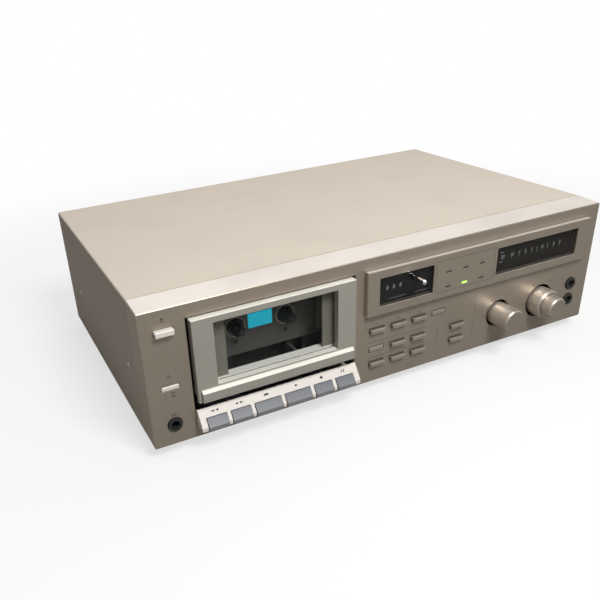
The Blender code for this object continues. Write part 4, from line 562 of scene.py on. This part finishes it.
# screws: a low tapered head with a cross on it, so that the case keeps its width
screw = {"radius": 3.0, "thick": 0.7, "taper": 0.7, "sides": 24, "cross": 2.6, "slot": 0.5,
         "crossThick": 0.74, "stand": 0.3}
screws = {
    "left_front": ("X", -1, (-210.0, 46.0, 48.0)), "left_rear": ("X", -1, (-210.0, 206.0, 45.0)),
    "right_front": ("X", 1, (210.0, 46.0, 48.0)), "right_rear": ("X", 1, (210.0, 206.0, 45.0)),
    "rear_left": ("Y", 1, (-190.0, 257.9, 95.0)), "rear_right": ("Y", 1, (190.0, 257.9, 95.0)),
    "rear_foot_left": ("Y", 1, (-190.0, 257.9, 8.0)), "rear_foot_right": ("Y", 1, (190.0, 257.9, 8.0)),
}
for name, (axis, side, (x, depth, z)) in screws.items():
    quarter = math.radians(90)
    turn = Matrix.Rotation(quarter * side, 3, "Y") if axis == "X" else Matrix.Rotation(-quarter, 3, "X")
    away = screw["stand"] * side
    # the black cross is painted shade: it stands in for the shaded cross recess of each head
    for part, material in (("head", "zincSheet"), ("cross", "blackPlastic")):
        bm = bmesh.new()
        if part == "head":
            bmesh.ops.create_cone(bm, cap_ends=True, segments=screw["sides"], radius1=screw["radius"],
                                  radius2=screw["radius"] * screw["taper"], depth=screw["thick"])
        else:
            for arm in ((screw["cross"], screw["slot"]), (screw["slot"], screw["cross"])):
                verts = bmesh.ops.create_cube(bm, size=1)["verts"]
                bmesh.ops.scale(bm, vec=(*arm, screw["crossThick"]), verts=verts)
        bmesh.ops.rotate(bm, verts=bm.verts, matrix=turn)
        shift(bm, bm.verts[:], x + (away if axis == "X" else 0), depth + (away if axis == "Y" else 0), z)
        toPiece(f"screw_{name}_{part}", bm, "case", material)
print("small hardware done")

# floor, light and camera
studio = {"floor": (0.32, 0.32, 0.315), "seenFloor": (0.92, 0.92, 0.92), "floorSize": 8, "floorRough": 0.9,
          "glow": 0.68, "near": 0.25, "far": 0.8, "world": 0.125, "shade": (1.0, 0.90, 0.80), "mirror": 0.5}
lamps = {"topLight": {"power": 4.8, "place": (0.15, 0.3, 1.15), "size": 1.3},
         "fillLight": {"power": 13.0, "place": (0.03, -0.82, 1.02), "size": 0.42}}
bm = bmesh.new()
bmesh.ops.create_grid(bm, x_segments=1, y_segments=1, size=studio["floorSize"])
mesh = bpy.data.meshes.new("floor")
bm.to_mesh(mesh)
bm.free()
floor = bpy.data.objects.new("floor", mesh)
bpy.context.scene.collection.objects.link(floor)
# white to the camera and in reflections, fading to full white away from the deck
tree, shader = startMaterial("paleFloor")
shader.inputs["Roughness"].default_value = studio["floorRough"]
reach = addNode(tree, "ShaderNodeVectorMath", operation="LENGTH")
fade = addNode(tree, "ShaderNodeMapRange", interpolation_type="SMOOTHSTEP")
for key, value in (("From Min", studio["near"]), ("From Max", studio["far"]), ("To Min", studio["glow"])):
    fade.inputs[key].default_value = value
rays = addNode(tree, "ShaderNodeLightPath").outputs
paper = addNode(tree, "ShaderNodeEmission")
over = addNode(tree, "ShaderNodeMixShader")
tree.links.new(mixColours(tree, rays["Is Camera Ray"], studio["floor"], studio["seenFloor"]),
               shader.inputs["Base Color"])
tree.links.new(objectPlace(tree), reach.inputs[0])
tree.links.new(reach.outputs["Value"], fade.inputs["Value"])
shown = combine(tree, "MAXIMUM", rays["Is Camera Ray"], rays["Is Transmission Ray"])
tree.links.new(combine(tree, "MULTIPLY", fade.outputs["Result"], shown), over.inputs[0])
tree.links.new(shader.outputs[0], over.inputs[1])
tree.links.new(paper.outputs[0], over.inputs[2])
tree.links.new(over.outputs[0], tree.nodes["Material Output"].inputs["Surface"])
mesh.materials.append(materials["paleFloor"])

world = bpy.data.worlds.new("studio")
bpy.context.scene.world = world
world.use_nodes = True
tree = world.node_tree
background = tree.nodes["Background"]
background.inputs["Color"].default_value = (*studio["shade"], 1)
background.inputs["Strength"].default_value = studio["world"]
white = addNode(tree, "ShaderNodeBackground")
white.inputs["Color"].default_value = (1, 1, 1, 1)
rays = addNode(tree, "ShaderNodeLightPath").outputs
over = addNode(tree, "ShaderNodeMixShader")
mirrored = combine(tree, "MULTIPLY", rays["Is Glossy Ray"], studio["mirror"])
seen = combine(tree, "MAXIMUM", rays["Is Camera Ray"], mirrored)
tree.links.new(combine(tree, "MAXIMUM", seen, rays["Is Transmission Ray"]), over.inputs[0])
tree.links.new(background.outputs[0], over.inputs[1])
tree.links.new(white.outputs[0], over.inputs[2])
tree.links.new(over.outputs[0], tree.nodes["World Output"].inputs["Surface"])

for name, lamp in lamps.items():
    light = bpy.data.lights.new(name, "AREA")
    light.energy = lamp["power"]
    light.size = lamp["size"]
    stand = bpy.data.objects.new(name, light)
    stand.location = lamp["place"]
    stand.rotation_euler = (-Vector(lamp["place"])).to_track_quat("-Z", "Y").to_euler()
    bpy.context.scene.collection.objects.link(stand)

shot = {"place": (-0.298, -0.51348, 0.30552), "turn": (61.9721, 3.1111, -25.5599), "lens": 40.208,
        "shift": (0.07276, 0.06304), "sensor": 36, "nearest": 0.01}
camera = bpy.data.objects.new("camera", bpy.data.cameras.new("camera"))
camera.location = shot["place"]
camera.rotation_euler = [math.radians(a) for a in shot["turn"]]
camera.data.sensor_width = shot["sensor"]
camera.data.lens = shot["lens"]
camera.data.shift_x, camera.data.shift_y = shot["shift"]
camera.data.clip_start = shot["nearest"]
bpy.context.scene.collection.objects.link(camera)
bpy.context.scene.camera = camera
bpy.context.scene.view_settings.view_transform = "Standard"

print("scene ready")
